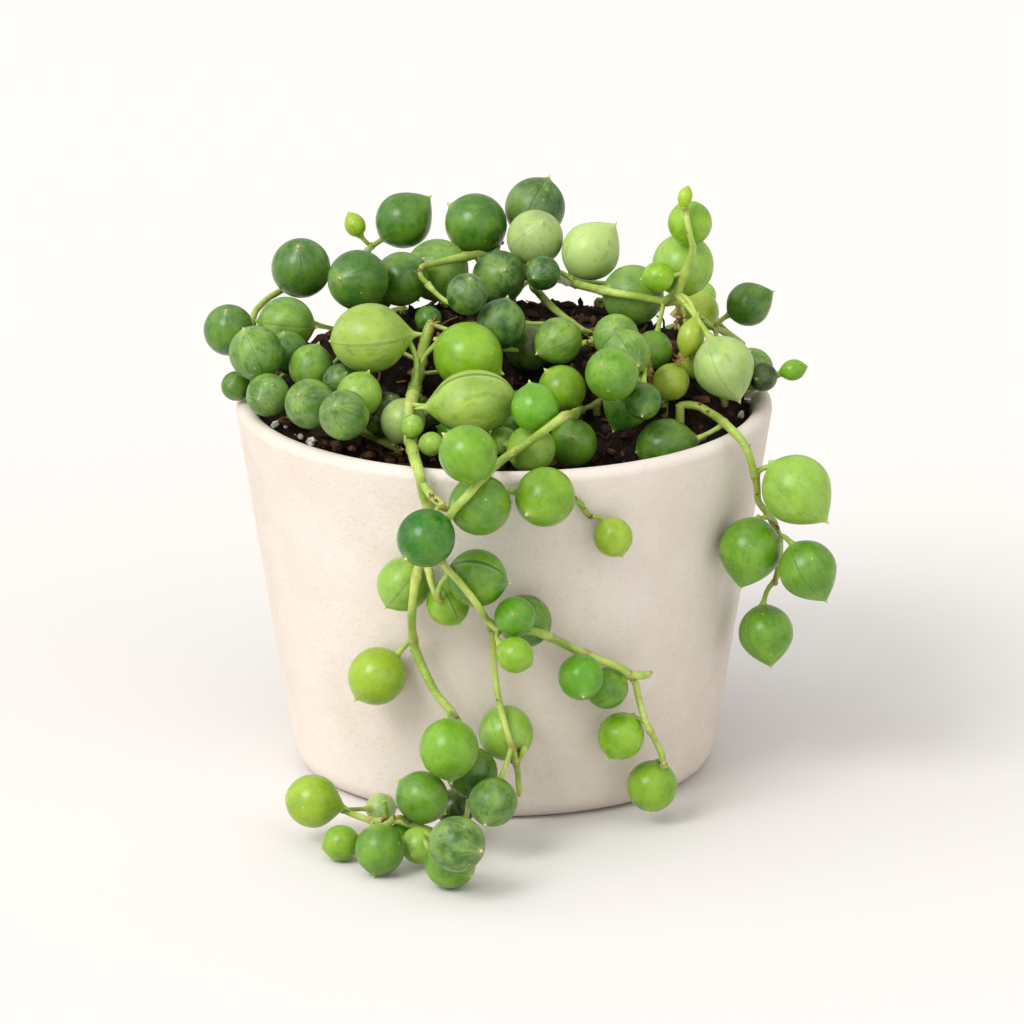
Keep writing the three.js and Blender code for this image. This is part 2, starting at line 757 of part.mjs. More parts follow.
function potMesh() {
  const lean = THREE.MathUtils.radToDeg(tilt);
  const edge = pot.edgeRound;
  const edgeCentre = outerRadius(edge) - edge / Math.cos(tilt);
  const insideCentre = innerRadius(pot.floor + innerRound) - innerRound / Math.cos(tilt);
  const profile = [
    new THREE.Vector2(0, 0),
    ...arc(edgeCentre, edge, edge, -90, -lean, 3),
    ...arc(lip.r - 0.1, lip.z, lip.radius, -lean, 180 - lean, 6),
    ...arc(insideCentre, pot.floor + innerRound, innerRound, -lean, -90, 2),
    new THREE.Vector2(0, pot.floor),
  ];
  const geometry = new THREE.LatheGeometry(profile, pot.sides).rotateX(Math.PI / 2);
  return namedMesh("pot", geometryFrom(solidFrom(geometry)), finish(0xf1e9dd, 0.85));
}

function soilRadius(z) {
  return innerRadius(z) - gap / Math.cos(tilt);
}

function soilProfile() {
  const bottom = pot.floor + gap;
  const low = bottom + soilRound;
  const profile = [
    new THREE.Vector2(0, bottom),
    new THREE.Vector2(soilRadius(low) - soilRound, bottom),
    new THREE.Vector2(soilRadius(low), low),
  ];
  for (let ring = 0; ring <= soil.rings; ring += 1) {
    profile.push(new THREE.Vector2(soilRadius(soilEdge) * (1 - ring / soil.rings), soilEdge));
  }
  return profile;
}

// The drawn rings take their heights, and the outermost keeps to the wall.
function heapUp(position) {
  for (let i = 0; i < position.count; i += 1) {
    if (position.getZ(i) < soilEdge - 0.01) continue;
    const x = position.getX(i);
    const y = position.getY(i);
    const z = soilHeight(x, y);
    const out = Math.hypot(x, y);
    const shrink = out > soilRadius(soilEdge) - 0.01 ? soilRadius(z) / out : 1;
    position.setXYZ(i, x * shrink, y * shrink, z);
  }
}

function soilMesh() {
  const geometry = new THREE.LatheGeometry(soilProfile(), soil.sides).rotateX(Math.PI / 2);
  heapUp(geometry.attributes.position);
  const solid = roots.reduce((rest, root) => rest.subtract(rootHole(root)), solidFrom(geometry));
  return namedMesh("soil", geometryFrom(solid), finish(0x2c1f17, 1));
}

function stringMesh(owner) {
  return namedMesh(owner.name, geometryFrom(stringSolid(owner)), finish(owner.color, 0.45));
}

const part = new THREE.Group();
part.add(potMesh(), soilMesh(), ...owners.map(stringMesh));

export default part;
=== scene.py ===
import math
import random
import bpy
import bmesh
import numpy as np
from mathutils import Euler, Matrix, Vector, noise


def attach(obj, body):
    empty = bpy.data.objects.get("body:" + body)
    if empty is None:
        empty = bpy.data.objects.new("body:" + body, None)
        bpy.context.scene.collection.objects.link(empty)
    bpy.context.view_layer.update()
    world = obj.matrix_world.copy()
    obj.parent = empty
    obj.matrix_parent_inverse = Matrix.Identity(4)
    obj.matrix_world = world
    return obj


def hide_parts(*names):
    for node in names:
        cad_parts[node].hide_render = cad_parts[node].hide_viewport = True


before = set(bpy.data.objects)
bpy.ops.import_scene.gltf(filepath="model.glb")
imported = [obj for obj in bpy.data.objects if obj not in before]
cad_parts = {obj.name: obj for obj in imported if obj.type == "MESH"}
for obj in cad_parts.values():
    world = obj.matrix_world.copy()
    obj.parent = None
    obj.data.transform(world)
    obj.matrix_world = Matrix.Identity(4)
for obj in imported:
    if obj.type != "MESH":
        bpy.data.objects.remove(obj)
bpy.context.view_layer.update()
mm = 0.001

# A potted string of pearls. Places are in millimetres, and a finished mesh is in metres.
# Pearls and stems lie along lines of sight of the front view, each as far back as it can be seen.

view = {
    "aim": (1.24, 0, 41),
    "distance": 2500,
    "elevation": 16.9,  # degrees above the horizon
    "scale": 6.306,  # how many units of the front view a millimetre is
    "centre": 512,
    "imageWidth": 1024,
}
pot = {
    "height": 60,
    "rimRadius": 42.5,
    "baseRadius": 33,
    "edgeRound": 4.5,
    "wall": 3,
    "floor": 4,
    "innerRound": 3.5,
    "steps": 144,
}
soil = {
    "frontHeight": 52,
    "heap": 15,
    "heapStart": -25,
    "heapFull": 12,
    "edgeStart": 29,
    "edgeFall": 0.56,
    "lump": 0.45,
    "rest": 1.16,  # how far above the soil a ball's middle stays, in its own radii
    "around": 132,
    "rings": 46,
}
plant = {
    "gap": 0.3,
    "stemRadius": 0.78,
    "stalkRadius": 0.5,
    "crownRadius": 43,
    "crownBack": 36,
    "nearest": -85,
    "depthStep": 0.25,
    "stemStep": 10,
    "stemSpan": 3.8,
    "stemPasses": 4,
    "rootDepth": 5,
}

# the plant as it shows in the front view


# A pearl may also say its form, tip, long, reach, inside and window, whose third number is its strength.
def pearl(rank, u, v, width, look, **extra):
    return dict(rank=rank, u=u, v=v, width=width, look=look, **extra)


def stem(rank, *points, root=None, thick=1, end=0.74):  # end: what share of its thickness is left there
    return dict(rank=rank, points=points, root=root, thick=thick, end=end)


leafLooks = {  # colour of the leaf, then how strong the window, the streaks and the pale bloom are
    # deep is a near-black green given to leaves that lie in shade between others: painted shade
    "deep": ((4, 34, 0), 0.35, 0.35, 0.1),
    "dark": ((45, 97, 0), 0.4, 0.4, 0.12),
    "emerald": ((8, 102, 0), 0.35, 0.2, 0.05),
    "fresh": ((76, 137, 0), 0.4, 0.25, 0.08),
    "vivid": ((95, 143, 0), 0.4, 0.3, 0.1),
    "mid": ((80, 130, 0), 0.45, 0.4, 0.2),
    "mottled": ((86, 126, 24), 0.2, 0.7, 0.45),
    "bright": ((117, 160, 2), 0.4, 0.42, 0.12),
    "lime": ((152, 169, 48), 0.5, 0.35, 0.15),
    "yellow": ((139, 167, 28), 0.4, 0.3, 0.1),
    "sage": ((138, 164, 57), 0.55, 0.65, 0.4),
    "soft": ((130, 169, 49), 0.25, 0.5, 0.35),
    "pale": ((161, 183, 108), 0.15, 0.5, 0.35),
    "glaucous": ((58, 105, 0), 0.15, 0.7, 0.6),
    "blue": ((12, 78, 0), 0.2, 0.6, 0.5),
}

strings = {
    "string_back_right": [
        stem(2, (530, 232), (527, 248), (525, 262), (528, 275)),
        stem(6, (528, 276), (533, 285), (545, 300), (558, 312), (575, 325), (590, 335), (597, 341),
             root=(597, 341)),
        pearl(0, 499, 272, 44, "dark"), pearl(1, 535, 208, 63, "blue", tip=(548, 179), window=(528, 212)),
        pearl(3, 535, 238, 59, "pale", window=(520, 238)), pearl(5, 499, 277, 56, "blue", tip=(505, 271)),
        pearl(6, 501, 324, 51, "blue", tip=(508, 295)),
        pearl(7, 558, 341, 49, "mottled", form="drop", tip=(540, 352), window=(562, 346)),
        # the deep look of (530, 348) is painted shade
        pearl(5, 530, 348, 50, "deep"),
    ],
    "string_back_middle": [
        stem(4, (492, 300), (494, 278), (483, 256), (465, 257), (445, 261), (430, 265), (418, 270),
             (428, 285), (438, 298), (446, 307), root=(492, 300), end=0.5),
        pearl(0, 437, 277, 46, "mid"), pearl(2, 476, 224, 64, "dark", tip=(451, 206)),
        pearl(3, 437, 270, 65, "mottled"), pearl(8, 467, 294, 43, "blue", tip=(470, 280)),
    ],
    "string_top_right": [
        stem(4, (512, 298), (520, 286), (532, 278), (546, 276), root=(512, 298)),
        stem(7, (547, 276), (560, 279), (580, 285), (610, 292), (640, 297), (665, 302), (683, 303),
             (697, 315), (710, 325), (730, 335), (745, 345)),
        stem(8, (672, 302), (680, 285), (688, 265), (693, 250), (690, 235), (687, 220), (685, 208)),
        pearl(0, 633, 287, 44, "mid"), pearl(0, 683, 274, 44, "glaucous"),
        pearl(3, 591, 251, 61, "pale", form="drop", tip=(617, 222)), pearl(4, 633, 295, 63, "mottled"),
        pearl(7, 543, 273, 36, "blue", tip=(534, 278)), pearl(3, 701, 296, 32, "soft"),
        pearl(4, 697, 312, 46, "lime"), pearl(5, 683, 265, 64, "soft"), pearl(6, 690, 223, 46, "bright"),
        pearl(6, 658, 277, 32, "bright"),
        pearl(9, 685, 197, 15, "yellow", form="lemon", tip=(689, 184), long=1.4),
        pearl(6, 749, 304, 46, "dark", form="drop", tip=(774, 291), reach=16),
        pearl(9, 691, 337, 28, "lime", form="lemon", tip=(685, 357), long=1.4),
        pearl(10, 724, 367, 63, "pale", form="drop", tip=(740, 403), window=(712, 362)),
        # the lime look of (694, 361) is lighter than its olive leaf, to make up for shade: painted light
        pearl(6, 653, 350, 40, "mid", reach=-2), pearl(7, 694, 361, 36, "lime"),
    ],
    "string_back_left": [
        stem(4, (356, 332, 22), (352, 300), (358, 278), (366, 253), (372, 246), root=(356, 332)),
        pearl(0, 401, 284, 44, "dark"), pearl(0, 358, 286, 48, "mid"),
        pearl(2, 404, 220, 59, "dark", form="drop", tip=(433, 194)),
        pearl(2, 355, 225, 22, "yellow", form="drop", tip=(348, 211), long=1.15),
        # the dark look of (401, 279) stands for the shade it lies in: painted shade
        pearl(3, 401, 279, 56, "dark"), pearl(5, 358, 280, 63, "dark", tip=(341, 279)),
    ],
    "string_left": [
        stem(2, (306, 345, 16), (285, 340), (262, 335), (252, 322), (259, 307), (270, 297), (277, 293),
             (284, 289), root=(306, 345)),
        stem(5, (262, 335), (252, 352), (247, 372), (250, 386)),
        pearl(0, 301, 274, 48, "dark"), pearl(3, 301, 268, 62, "dark", tip=(299, 248)),
        pearl(5, 229, 330, 53, "dark", tip=(227, 312), reach=10),
        pearl(6, 286, 324, 57, "mottled", tip=(314, 327), window=(284, 326)),
        pearl(6, 287, 352, 44, "dark", tip=(284, 334)),
        pearl(8, 256, 353, 56, "glaucous", tip=(245, 331), window=(256, 356)),
        pearl(7, 236, 386, 31, "dark"), pearl(9, 268, 395, 45, "glaucous", tip=(260, 399)),
    ],
    "string_left_front": [
        stem(5, (398, 449), (385, 442), (368, 432), (350, 422), (334, 410), (324, 396), (322, 382),
             (330, 368), root=(398, 449)),
        pearl(6, 311, 367, 46, "mottled", tip=(319, 342)), pearl(6, 340, 381, 36, "blue"),
        pearl(8, 359, 395, 47, "soft", tip=(368, 373)), pearl(9, 310, 404, 52, "glaucous", tip=(300, 395)),
        # the deep look of (385, 415) is painted shade
        pearl(10, 344, 415, 52, "glaucous", tip=(336, 406)), pearl(6, 385, 415, 48, "deep"),
    ],
    "string_front_left": [
        stem(9, (431, 324), (427, 335), (424, 345), (418, 375), (413, 395), (409, 412), (409, 432, -18),
             (413, 452, -31), (416, 463, -39), (420, 475, -44.5), (424, 495), (430, 515), (428, 540),
             (418, 570), (413, 600), (412, 630), (415, 648), (424, 670), (437, 695), (450, 710), (457, 720),
             root=(413, 395), thick=1.35),
        stem(9, (424, 490), (437, 500), (446, 508)),
        stem(9, (427, 560), (432, 585), (438, 600)),
        pearl(6, 428, 319, 28, "dark"),
        pearl(7, 370, 338, 72, "sage", form="pear", tip=(331, 341), long=1.08, window=(372, 346, 0.7)),
        pearl(8, 468, 356, 70, "bright", tip=(499, 372)),
        pearl(9, 473, 402, 66, "sage", form="pear", tip=(515, 397), long=1.28, window=(470, 374)),
        # the deep look of (431, 416) is painted shade
        pearl(7, 431, 416, 36, "deep"), pearl(8, 403, 421, 46, "pale"), pearl(11, 412, 426, 24, "soft"),
        pearl(11, 431, 444, 25, "soft"), pearl(13, 426, 538, 59, "emerald", tip=(408, 557)),
        pearl(8, 404, 584, 55, "soft", tip=(386, 607), window=(402, 590)),
        pearl(8, 448, 604, 44, "bright", tip=(458, 623), window=(450, 600)),
        pearl(8, 477, 578, 59, "mid", tip=(506, 583), window=(480, 562)),
        pearl(10, 377, 676, 59, "yellow", tip=(355, 700)), pearl(14, 449, 749, 61, "vivid", tip=(451, 780)),
        pearl(8, 480, 505, 62, "mid"),
    ],
    "string_front": [
        stem(5, (610, 398), (600, 402), (590, 407), (582, 409), root=(600, 402)),
        stem(11, (583, 411), (574, 414), (565, 416), (545, 430), (525, 445), (505, 458), (485, 475),
             (468, 495), (450, 515), (443, 540), (443, 563), (455, 577), (470, 595), (482, 612), (491, 630),
             (493, 650), (495, 675), (499, 700), (505, 725), (511, 745), (515, 758), (518, 775),
             (519, 796)),
        stem(11, (491, 630), (512, 630), (533, 631), (556, 640), (578, 651), (600, 660), (620, 668),
             (634, 680), (638, 695), (645, 720), (655, 740), (662, 755), (664, 765)),
        stem(11, (634, 680), (643, 675), (651, 673)),
        pearl(8, 562, 389, 49, "bright"), pearl(9, 535, 408, 49, "fresh", tip=(529, 379)),
        # the soft looks of (503, 441) and (531, 449) are lighter than their leaves, to make up for shade from
        # the pearls above: painted light
        pearl(7, 573, 443, 50, "mid", tip=(573, 438), inside=-22), pearl(7, 503, 441, 30, "soft"),
        pearl(8, 531, 449, 50, "soft", inside=-22),
        pearl(12, 468, 454, 59, "vivid", tip=(446, 436), window=(452, 476)), pearl(8, 525, 621, 54, "dark"),
        pearl(13, 515, 617, 42, "fresh", tip=(513, 614)), pearl(13, 515, 655, 37, "bright", tip=(531, 665)),
        pearl(8, 506, 733, 56, "soft"), pearl(9, 607, 688, 43, "mid"),
        pearl(12, 581, 677, 47, "fresh", tip=(583, 695)), pearl(10, 621, 736, 48, "bright", tip=(608, 758)),
        pearl(10, 652, 786, 52, "bright", tip=(648, 810)), pearl(12, 493, 802, 50, "glaucous"),
    ],
    "string_end": [
        stem(9, (466, 822, -44), (450, 836, -50), (430, 832, -52), (410, 823, -50), (395, 820, -48),
             (375, 821, -47), (355, 815, -44), (343, 810, -42)),
        # the dark look of (472, 773) stands for the shade it lies in: painted shade
        pearl(9, 472, 773, 53, "dark"), pearl(10, 422, 797, 53, "mid", tip=(397, 779)),
        pearl(8, 381, 808, 31, "pale"), pearl(8, 455, 808, 40, "deep"), pearl(8, 396, 835, 35, "fresh"),
        pearl(10, 419, 845, 38, "soft"), pearl(11, 380, 849, 51, "mid", tip=(374, 875)),
        pearl(10, 341, 843, 37, "bright", tip=(322, 848)),
        pearl(9, 313, 801, 55, "yellow", form="pear", tip=(284, 795)),
        pearl(11, 450, 863, 52, "mid", tip=(470, 875)), pearl(12, 457, 844, 57, "glaucous", tip=(479, 850)),
    ],
    "string_front_rim": [
        stem(6, (492, 441), (488, 449, -22), (484, 456, -31), (481, 463, -39), (483, 474, -45), (490, 484),
             (502, 490), (515, 492), (530, 494), (550, 495), (566, 496), (576, 499), (583, 508), (590, 517),
             root=(492, 441)),
        pearl(9, 545, 497, 61, "bright", tip=(528, 513)), pearl(9, 613, 537, 40, "yellow", tip=(623, 558)),
    ],
    "string_right": [
        stem(9, (680, 405), (697, 406), (710, 413, -8), (718, 418, -13), (725, 424, -18), (737, 435, -24.5),
             (747, 450, -25.5), (752, 465, -24), (757, 485, -22), (758, 500, -21), (766, 512, -19),
             (775, 525, -17), (780, 545, -16), (779, 565, -16), (775, 582, -17), root=(680, 405)),
        pearl(8, 666, 446, 57, "dark", form="pear", tip=(637, 452), long=1.06, inside=-20),
        pearl(10, 797, 490, 72, "soft", form="drop", tip=(830, 525), reach=-14, window=(786, 500, 0.2)),
        pearl(10, 750, 550, 65, "mid", form="drop", tip=(740, 590), reach=-18, window=(742, 560, 0.15)),
        pearl(10, 808, 570, 60, "mid", form="drop", tip=(826, 601), reach=-12, window=(802, 578, 0.6)),
        pearl(10, 766, 633, 57, "mid", form="drop", tip=(771, 668), reach=-16),
    ],
    "string_middle_right": [
        stem(7, (664, 402), (655, 385), (648, 368), (640, 355), (630, 345), root=(664, 402)),
        pearl(7, 616, 337, 48, "mottled", tip=(615, 328)),
        pearl(8, 627, 353, 49, "mottled", tip=(637, 365), window=(628, 350)),
        pearl(12, 612, 374, 55, "mid", tip=(602, 365)), pearl(8, 671, 382, 38, "lime", tip=(664, 400)),
        pearl(8, 627, 404, 50, "dark", form="drop", tip=(614, 430)),
        pearl(9, 643, 401, 38, "dark", tip=(642, 415)),
    ],
    "string_right_edge": [
        stem(7, (724, 392), (742, 391), (756, 386), (768, 380), (776, 376), (783, 372), root=(724, 392)),
        pearl(7, 752, 369, 44, "glaucous"), pearl(8, 763, 377, 30, "deep"),
        pearl(9, 793, 370, 22, "vivid", form="lemon", tip=(806, 367), long=1.2, reach=2),
    ],
}

backStrings = {  # over the back of the rim: the angle round the pot, and how low each reaches
    "string_behind_left": dict(angle=122, low=24, pearls=7, seed=3),
    "string_behind": dict(angle=90, low=12, pearls=8, seed=11),
    "string_behind_right": dict(angle=60, low=32, pearls=6, seed=7),
}

# lines of sight

tiltUp = math.radians(view["elevation"])
forward = np.array([0, math.cos(tiltUp), -math.sin(tiltUp)])
upward = np.array([0, math.sin(tiltUp), math.cos(tiltUp)])
eye = np.array(view["aim"], float) - forward * view["distance"]


def sightLine(u, v):  # the direction, with a depth of 1, of the line that shows at (u, v)
    line = forward * view["scale"] * view["distance"]
    line = line + np.array([u - view["centre"], 0, 0]) + upward * (view["centre"] - v)
    return line / line[1]


def sighted(u, v, y):
    return eye + sightLine(u, v) * (y - eye[1])


def shownAt(points, radius=0):  # where points show in the front view, how deep they lie and how wide
    away = np.atleast_2d(points) - eye
    depth = away @ forward
    size = view["scale"] * view["distance"] / depth
    spots = np.stack([view["centre"] + away[:, 0] * size, view["centre"] - (away @ upward) * size], 1)
    return spots, depth, radius * size


def shownNear(points, spot):  # how far from the spot each point shows
    shown = shownAt(points)[0]
    return np.hypot(shown[:, 0] - spot[0], shown[:, 1] - spot[1])


def towards(item, spot, long=1):  # the way from a pearl's middle to the part of it that shows at the spot
    side = (spot[0] - item["u"]) / (item["width"] / 2) / long
    rise = (item["v"] - spot[1]) / (item["width"] / 2) / long
    facing = math.sqrt(max(0, 1 - side * side - rise * rise))
    return upward * rise - forward * facing + np.array([side, 0, 0])


def smooth(t):
    k = np.clip(t, 0, 1)
    return k * k * (3 - 2 * k)


def unit(vector):
    return vector / np.linalg.norm(vector)


# pot and soil as heights and distances

slope = (pot["rimRadius"] - pot["baseRadius"]) / pot["height"]
lean = math.atan(slope)


def outerRadius(z):
    return pot["baseRadius"] + slope * z


def innerRadius(z):
    return outerRadius(z) - pot["wall"] / math.cos(lean)


def soilHeight(x, y):
    heaped = soil["heap"] * smooth((y - soil["heapStart"]) / (soil["heapFull"] - soil["heapStart"]))
    fall = smooth((np.hypot(x, y) - soil["edgeStart"]) / (innerRadius(pot["height"]) - soil["edgeStart"]))
    lumps = np.sin(0.71 * x + 0.4 * y) + np.sin(0.63 * y - 0.35 * x + 1.3) + 0.6 * np.sin(1.3 * x - 0.9 * y)
    return soil["frontHeight"] + heaped * (1 - soil["edgeFall"] * fall) + soil["lump"] * lumps


def clearOfPot(points, radius):  # whether balls clear the filled pot, its soil and the surface below
    x, y, z = np.atleast_2d(points).T
    reach = radius + plant["gap"]
    out = np.hypot(x, y)
    half = pot["wall"] / 2
    lipClear = np.hypot(out - (pot["rimRadius"] - half), z - (pot["height"] - half)) >= reach + half
    wallClear = (z > pot["height"]) | ((out - outerRadius(z)) * math.cos(lean) >= reach)
    soilClear = z - soilHeight(x, y) >= soil["rest"] * radius + plant["gap"]
    return (z >= radius) & lipClear & np.where(out > pot["rimRadius"] - half, wallClear, soilClear)


# curves


class Path:  # a smooth curve through points, measured along its length
    def __init__(self, points):
        self.points = np.array(points, float)
        self.times = np.linspace(0, 1, 201)
        steps = np.linalg.norm(np.diff(self.at(self.times), axis=0), axis=1)
        self.lengths = np.concatenate([[0], np.cumsum(steps)])
        self.length = self.lengths[-1]

    def at(self, times):
        p = self.points
        last = len(p) - 1
        place = np.atleast_1d(times) * last
        index = np.minimum(place.astype(int), last - 1)
        t = (place - index)[:, None]
        ends = np.vstack([2 * p[0] - p[1], p, 2 * p[-1] - p[-2]])
        p0, p1, p2, p3 = near = [ends[index + k] for k in range(4)]
        d0, d1, d2 = [np.sqrt(np.linalg.norm(b - a, axis=1))[:, None] for a, b in zip(near, near[1:])]
        d1 = np.where(d1 < 1e-4, 1, d1)
        d0 = np.where(d0 < 1e-4, d1, d0)
        d2 = np.where(d2 < 1e-4, d1, d2)
        t1 = ((p1 - p0) / d0 - (p2 - p0) / (d0 + d1) + (p2 - p1) / d1) * d1
        t2 = ((p2 - p1) / d1 - (p3 - p1) / (d1 + d2) + (p3 - p2) / d2) * d1
        return p1 + t1 * t + (3 * (p2 - p1) - 2 * t1 - t2) * t**2 + (2 * (p1 - p2) + t1 + t2) * t**3

    def spaced(self, count):
        return self.at(np.interp(np.linspace(0, 1, count + 1) * self.length, self.lengths, self.times))

    def pointAt(self, share):
        return self.at(np.interp([share * self.length], self.lengths, self.times))[0]


def bend(start, middle, end, count=8):  # a quadratic curve
    t = np.linspace(0, 1, count + 1)[:, None]
    return (1 - t) ** 2 * start + 2 * (1 - t) * t * middle + t**2 * end


# laying pearls and stems

most = 9000  # balls
placed = {"at": np.zeros((most, 3)), "radius": np.zeros(most), "owner": np.zeros(most, int), "count": 0}


def place(points, radius, owner):
    points = np.atleast_2d(points)
    new = slice(placed["count"], placed["count"] + len(points))
    for key, value in (("at", points), ("radius", radius), ("owner", owner["number"])):
        placed[key][new] = value
    placed["count"] = new.stop


def placedSoFar():
    return [placed[key][: placed["count"]] for key in ("at", "radius", "owner")]


def tooClose(p, reach):
    at, radii, _ = placedSoFar()
    return bool((np.linalg.norm(at - p, axis=1) < radii + reach).any())


def crownDepth(u, v):
    x = sighted(u, v, 0)[0]
    return min(plant["crownBack"], math.sqrt(max(0, plant["crownRadius"] ** 2 - x**2)))


def sightEnd(u, v, radius, furthest):  # how far back a ball can be seen
    depths = np.arange(plant["nearest"], furthest + 1e-9, plant["depthStep"])
    clear = clearOfPot(eye + np.outer(depths - eye[1], sightLine(u, v)), radius)
    clear[0] = True
    blocked = np.flatnonzero(~clear)
    return depths[blocked[0] - 1] if len(blocked) else depths[-1]


def insideEnd(u, v, radius, inside):
    y = inside
    while not clearOfPot(sighted(u, v, y), radius)[0]:
        y -= plant["depthStep"]
    return y


def nearestTouch(u, v, radius):  # the near end of what a ball on this line would touch
    at, radii, _ = placedSoFar()
    line = sightLine(u, v)
    away = eye - line * eye[1] - at
    reach = radius + radii + plant["gap"]
    a = line @ line
    b = away @ line
    inside = b * b - a * ((away**2).sum(1) - reach**2)
    hit = inside > 0
    return ((-b[hit] - np.sqrt(inside[hit])) / a).min() if hit.any() else math.inf


def settle(u, v, radius, reach=None, inside=None):
    if inside is None:
        y = sightEnd(u, v, radius, crownDepth(u, v) if reach is None else reach)
    else:
        y = insideEnd(u, v, radius, inside)
    return min(y, nearestTouch(u, v, radius))


def newPearl(centre, radius, item, long=1):
    return dict(centre=centre, radius=radius, long=long, axis=None, item=item)


def layPearl(owner, item):
    radius = item["width"] / 2 / view["scale"]
    long = item.get("long", 1)
    y = settle(item["u"], item["v"], radius * long**0.5, item.get("reach"), item.get("inside"))
    laid = newPearl(sighted(item["u"], item["v"], y), radius, item, long)
    if "tip" in item:
        laid["axis"] = unit(towards(item, item["tip"], long))
    for way in (-1, 1) if long > 1 else (0,):
        offset = laid["axis"] * way * radius * (long - 1) if way else 0
        place(laid["centre"] + offset, radius, owner)
    owner["pearlsLaid"].append(laid)


def nearestPoint(points, p):
    return points[np.argmin(np.linalg.norm(points - p, axis=1))]


def spines(owner):
    return np.vstack([laid["spine"] for laid in owner["stemsLaid"]])


def layTube(owner, points, rooted=None, thick=1, end=0.74):
    path = Path(points)
    steps = max(2, round(path.length / plant["stemSpan"]))
    spine = path.spaced(steps)
    place(path.spaced(steps * 3), plant["stemRadius"], owner)
    root = None if rooted is None else nearestPoint(spine, rooted)
    owner["stemsLaid"].append(dict(path=path, spine=spine, root=root, thick=thick, end=end))
    return path


def layStem(owner, item):
    route = Path([(p[0], p[1], 0) for p in item["points"]])
    count = max(2, round(route.length / plant["stemStep"]))
    shown = route.spaced(count)
    depths = []
    for u, v, _ in shown:
        given = min(item["points"], key=lambda q: math.hypot(q[0] - u, q[1] - v))
        depths.append(settle(u, v, plant["stemRadius"], given[2] if len(given) > 2 else None))
    for _ in range(plant["stemPasses"]):
        for i in range(1, count):
            depths[i] = min(depths[i], (depths[i - 1] + 2 * depths[i] + depths[i + 1]) / 4)
    points = np.array([sighted(u, v, y) for (u, v, _), y in zip(shown, depths)])
    rooted = None
    if item["root"]:
        rooted = points[np.argmin(shownNear(points, item["root"]))].copy()
    if owner["stemsLaid"]:
        points[0] = nearestPoint(spines(owner), points[0])
    layTube(owner, points, rooted, item["thick"], item["end"])


def drawFrom(seed):  # the same plain sequence each time
    state = seed
    while True:
        state = state * 16807 % 2147483647
        yield state / 2147483647


def polar(angle, radius, z):
    return np.array([radius * math.cos(angle), radius * math.sin(angle), z])


hanging = {
    "start": 30,  # how far from the middle it leaves the soil
    "rim": ((-5.5, 4.2), (-1, 1.58), (1.6, -2.2)),  # how it passes the rim: outwards, then upwards
    "drop": 3,  # how far below the rim it starts to hang
    "points": 10,
    "sway": 0.07,
    "wave": 1.1,
    "offWall": 2.1,
    "first": 0.26,  # where along it the first pearl is
    "aside": 0.6,
    "spread": 0.8,
    "lower": 1.5,
    "outStep": 0.3,
    "radius": 3.5,
    "larger": 1.3,
    "looks": ("mid", "dark", "glaucous", "bright"),
}


def backRoute(plan):  # out of the soil, over the rim and down the wall
    angle = math.radians(plan["angle"])
    top, high = pot["height"], pot["height"] - hanging["drop"]
    start = polar(angle, hanging["start"], 0)
    start[2] = soilHeight(start[0], start[1]) + plant["stemRadius"] + plant["gap"]
    points = [start]
    for out, rise in hanging["rim"]:
        points.append(polar(angle, pot["rimRadius"] + out, top + rise))
    for i in range(1, hanging["points"] + 1):
        z = high - (i / hanging["points"]) * (high - plan["low"])
        sway = hanging["sway"] * math.sin(i * hanging["wave"] + plan["seed"])
        points.append(polar(angle + sway, outerRadius(z) + hanging["offWall"], z))
    return points


def layBackString(owner, plan):
    draw = drawFrom(plan["seed"])
    points = backRoute(plan)
    route = layTube(owner, points, points[0])
    gap, first = plant["gap"], hanging["first"]
    for i in range(plan["pearls"]):
        at = route.pointAt(first + (1 - first) * (i + 0.6) / plan["pearls"])
        radius = hanging["radius"] + hanging["larger"] * next(draw)
        side = 1 if i % 2 else -1
        aside = side * (radius + hanging["aside"] + hanging["spread"] * next(draw))
        turn = math.atan2(at[1], at[0]) + aside / math.hypot(at[0], at[1])
        z = max(radius + 0.2, at[2] - hanging["lower"] * next(draw))
        out = outerRadius(z) + radius / math.cos(lean) + gap + 0.1
        while tooClose(polar(turn, out, z), radius + gap):
            out += hanging["outStep"]
        centre = polar(turn, out, z)
        place(centre, radius, owner)
        look = hanging["looks"][(i + plan["seed"]) % len(hanging["looks"])]
        owner["pearlsLaid"].append(newPearl(centre, radius, dict(look=look)))


stalkWays = {
    "foot": 0.86,  # where it leaves the leaf, as a share of its radius
    "middle": 0.4,  # where along the way it bends most
    "back": 2.5,  # how far it goes straight on from the leaf at most
    "bends": (0, 1.5, 3, 4.5, 6),
    "turns": 8,
    "stems": 8,
    "near": 30,
    "bendCost": 0.02,
    "cost": 0.04,  # for each millimetre of its length
    "potCost": 2,  # where it would cut the pot or the soil
}


def stalkCurves(laid, ends):  # straight and bent ways to the nearest stems, each with its cost
    foot = laid["centre"] - laid["axis"] * laid["radius"] * laid["long"] * stalkWays["foot"]
    for end in ends[: stalkWays["stems"]]:
        span = end - foot
        length = np.linalg.norm(span)
        back = -laid["axis"] * min(stalkWays["back"], length / 3)
        across = unit(np.array([-span[2], 0, span[0]]))
        over = unit(np.cross(span, across))
        for size in stalkWays["bends"]:
            for k in range(stalkWays["turns"] if size else 1):
                turn = 2 * math.pi * k / stalkWays["turns"]
                middle = foot + span * stalkWays["middle"] + back + across * size * math.cos(turn)
                middle = middle + over * size * math.sin(turn)
                yield (foot, middle, end), stalkWays["bendCost"] * size + stalkWays["cost"] * length


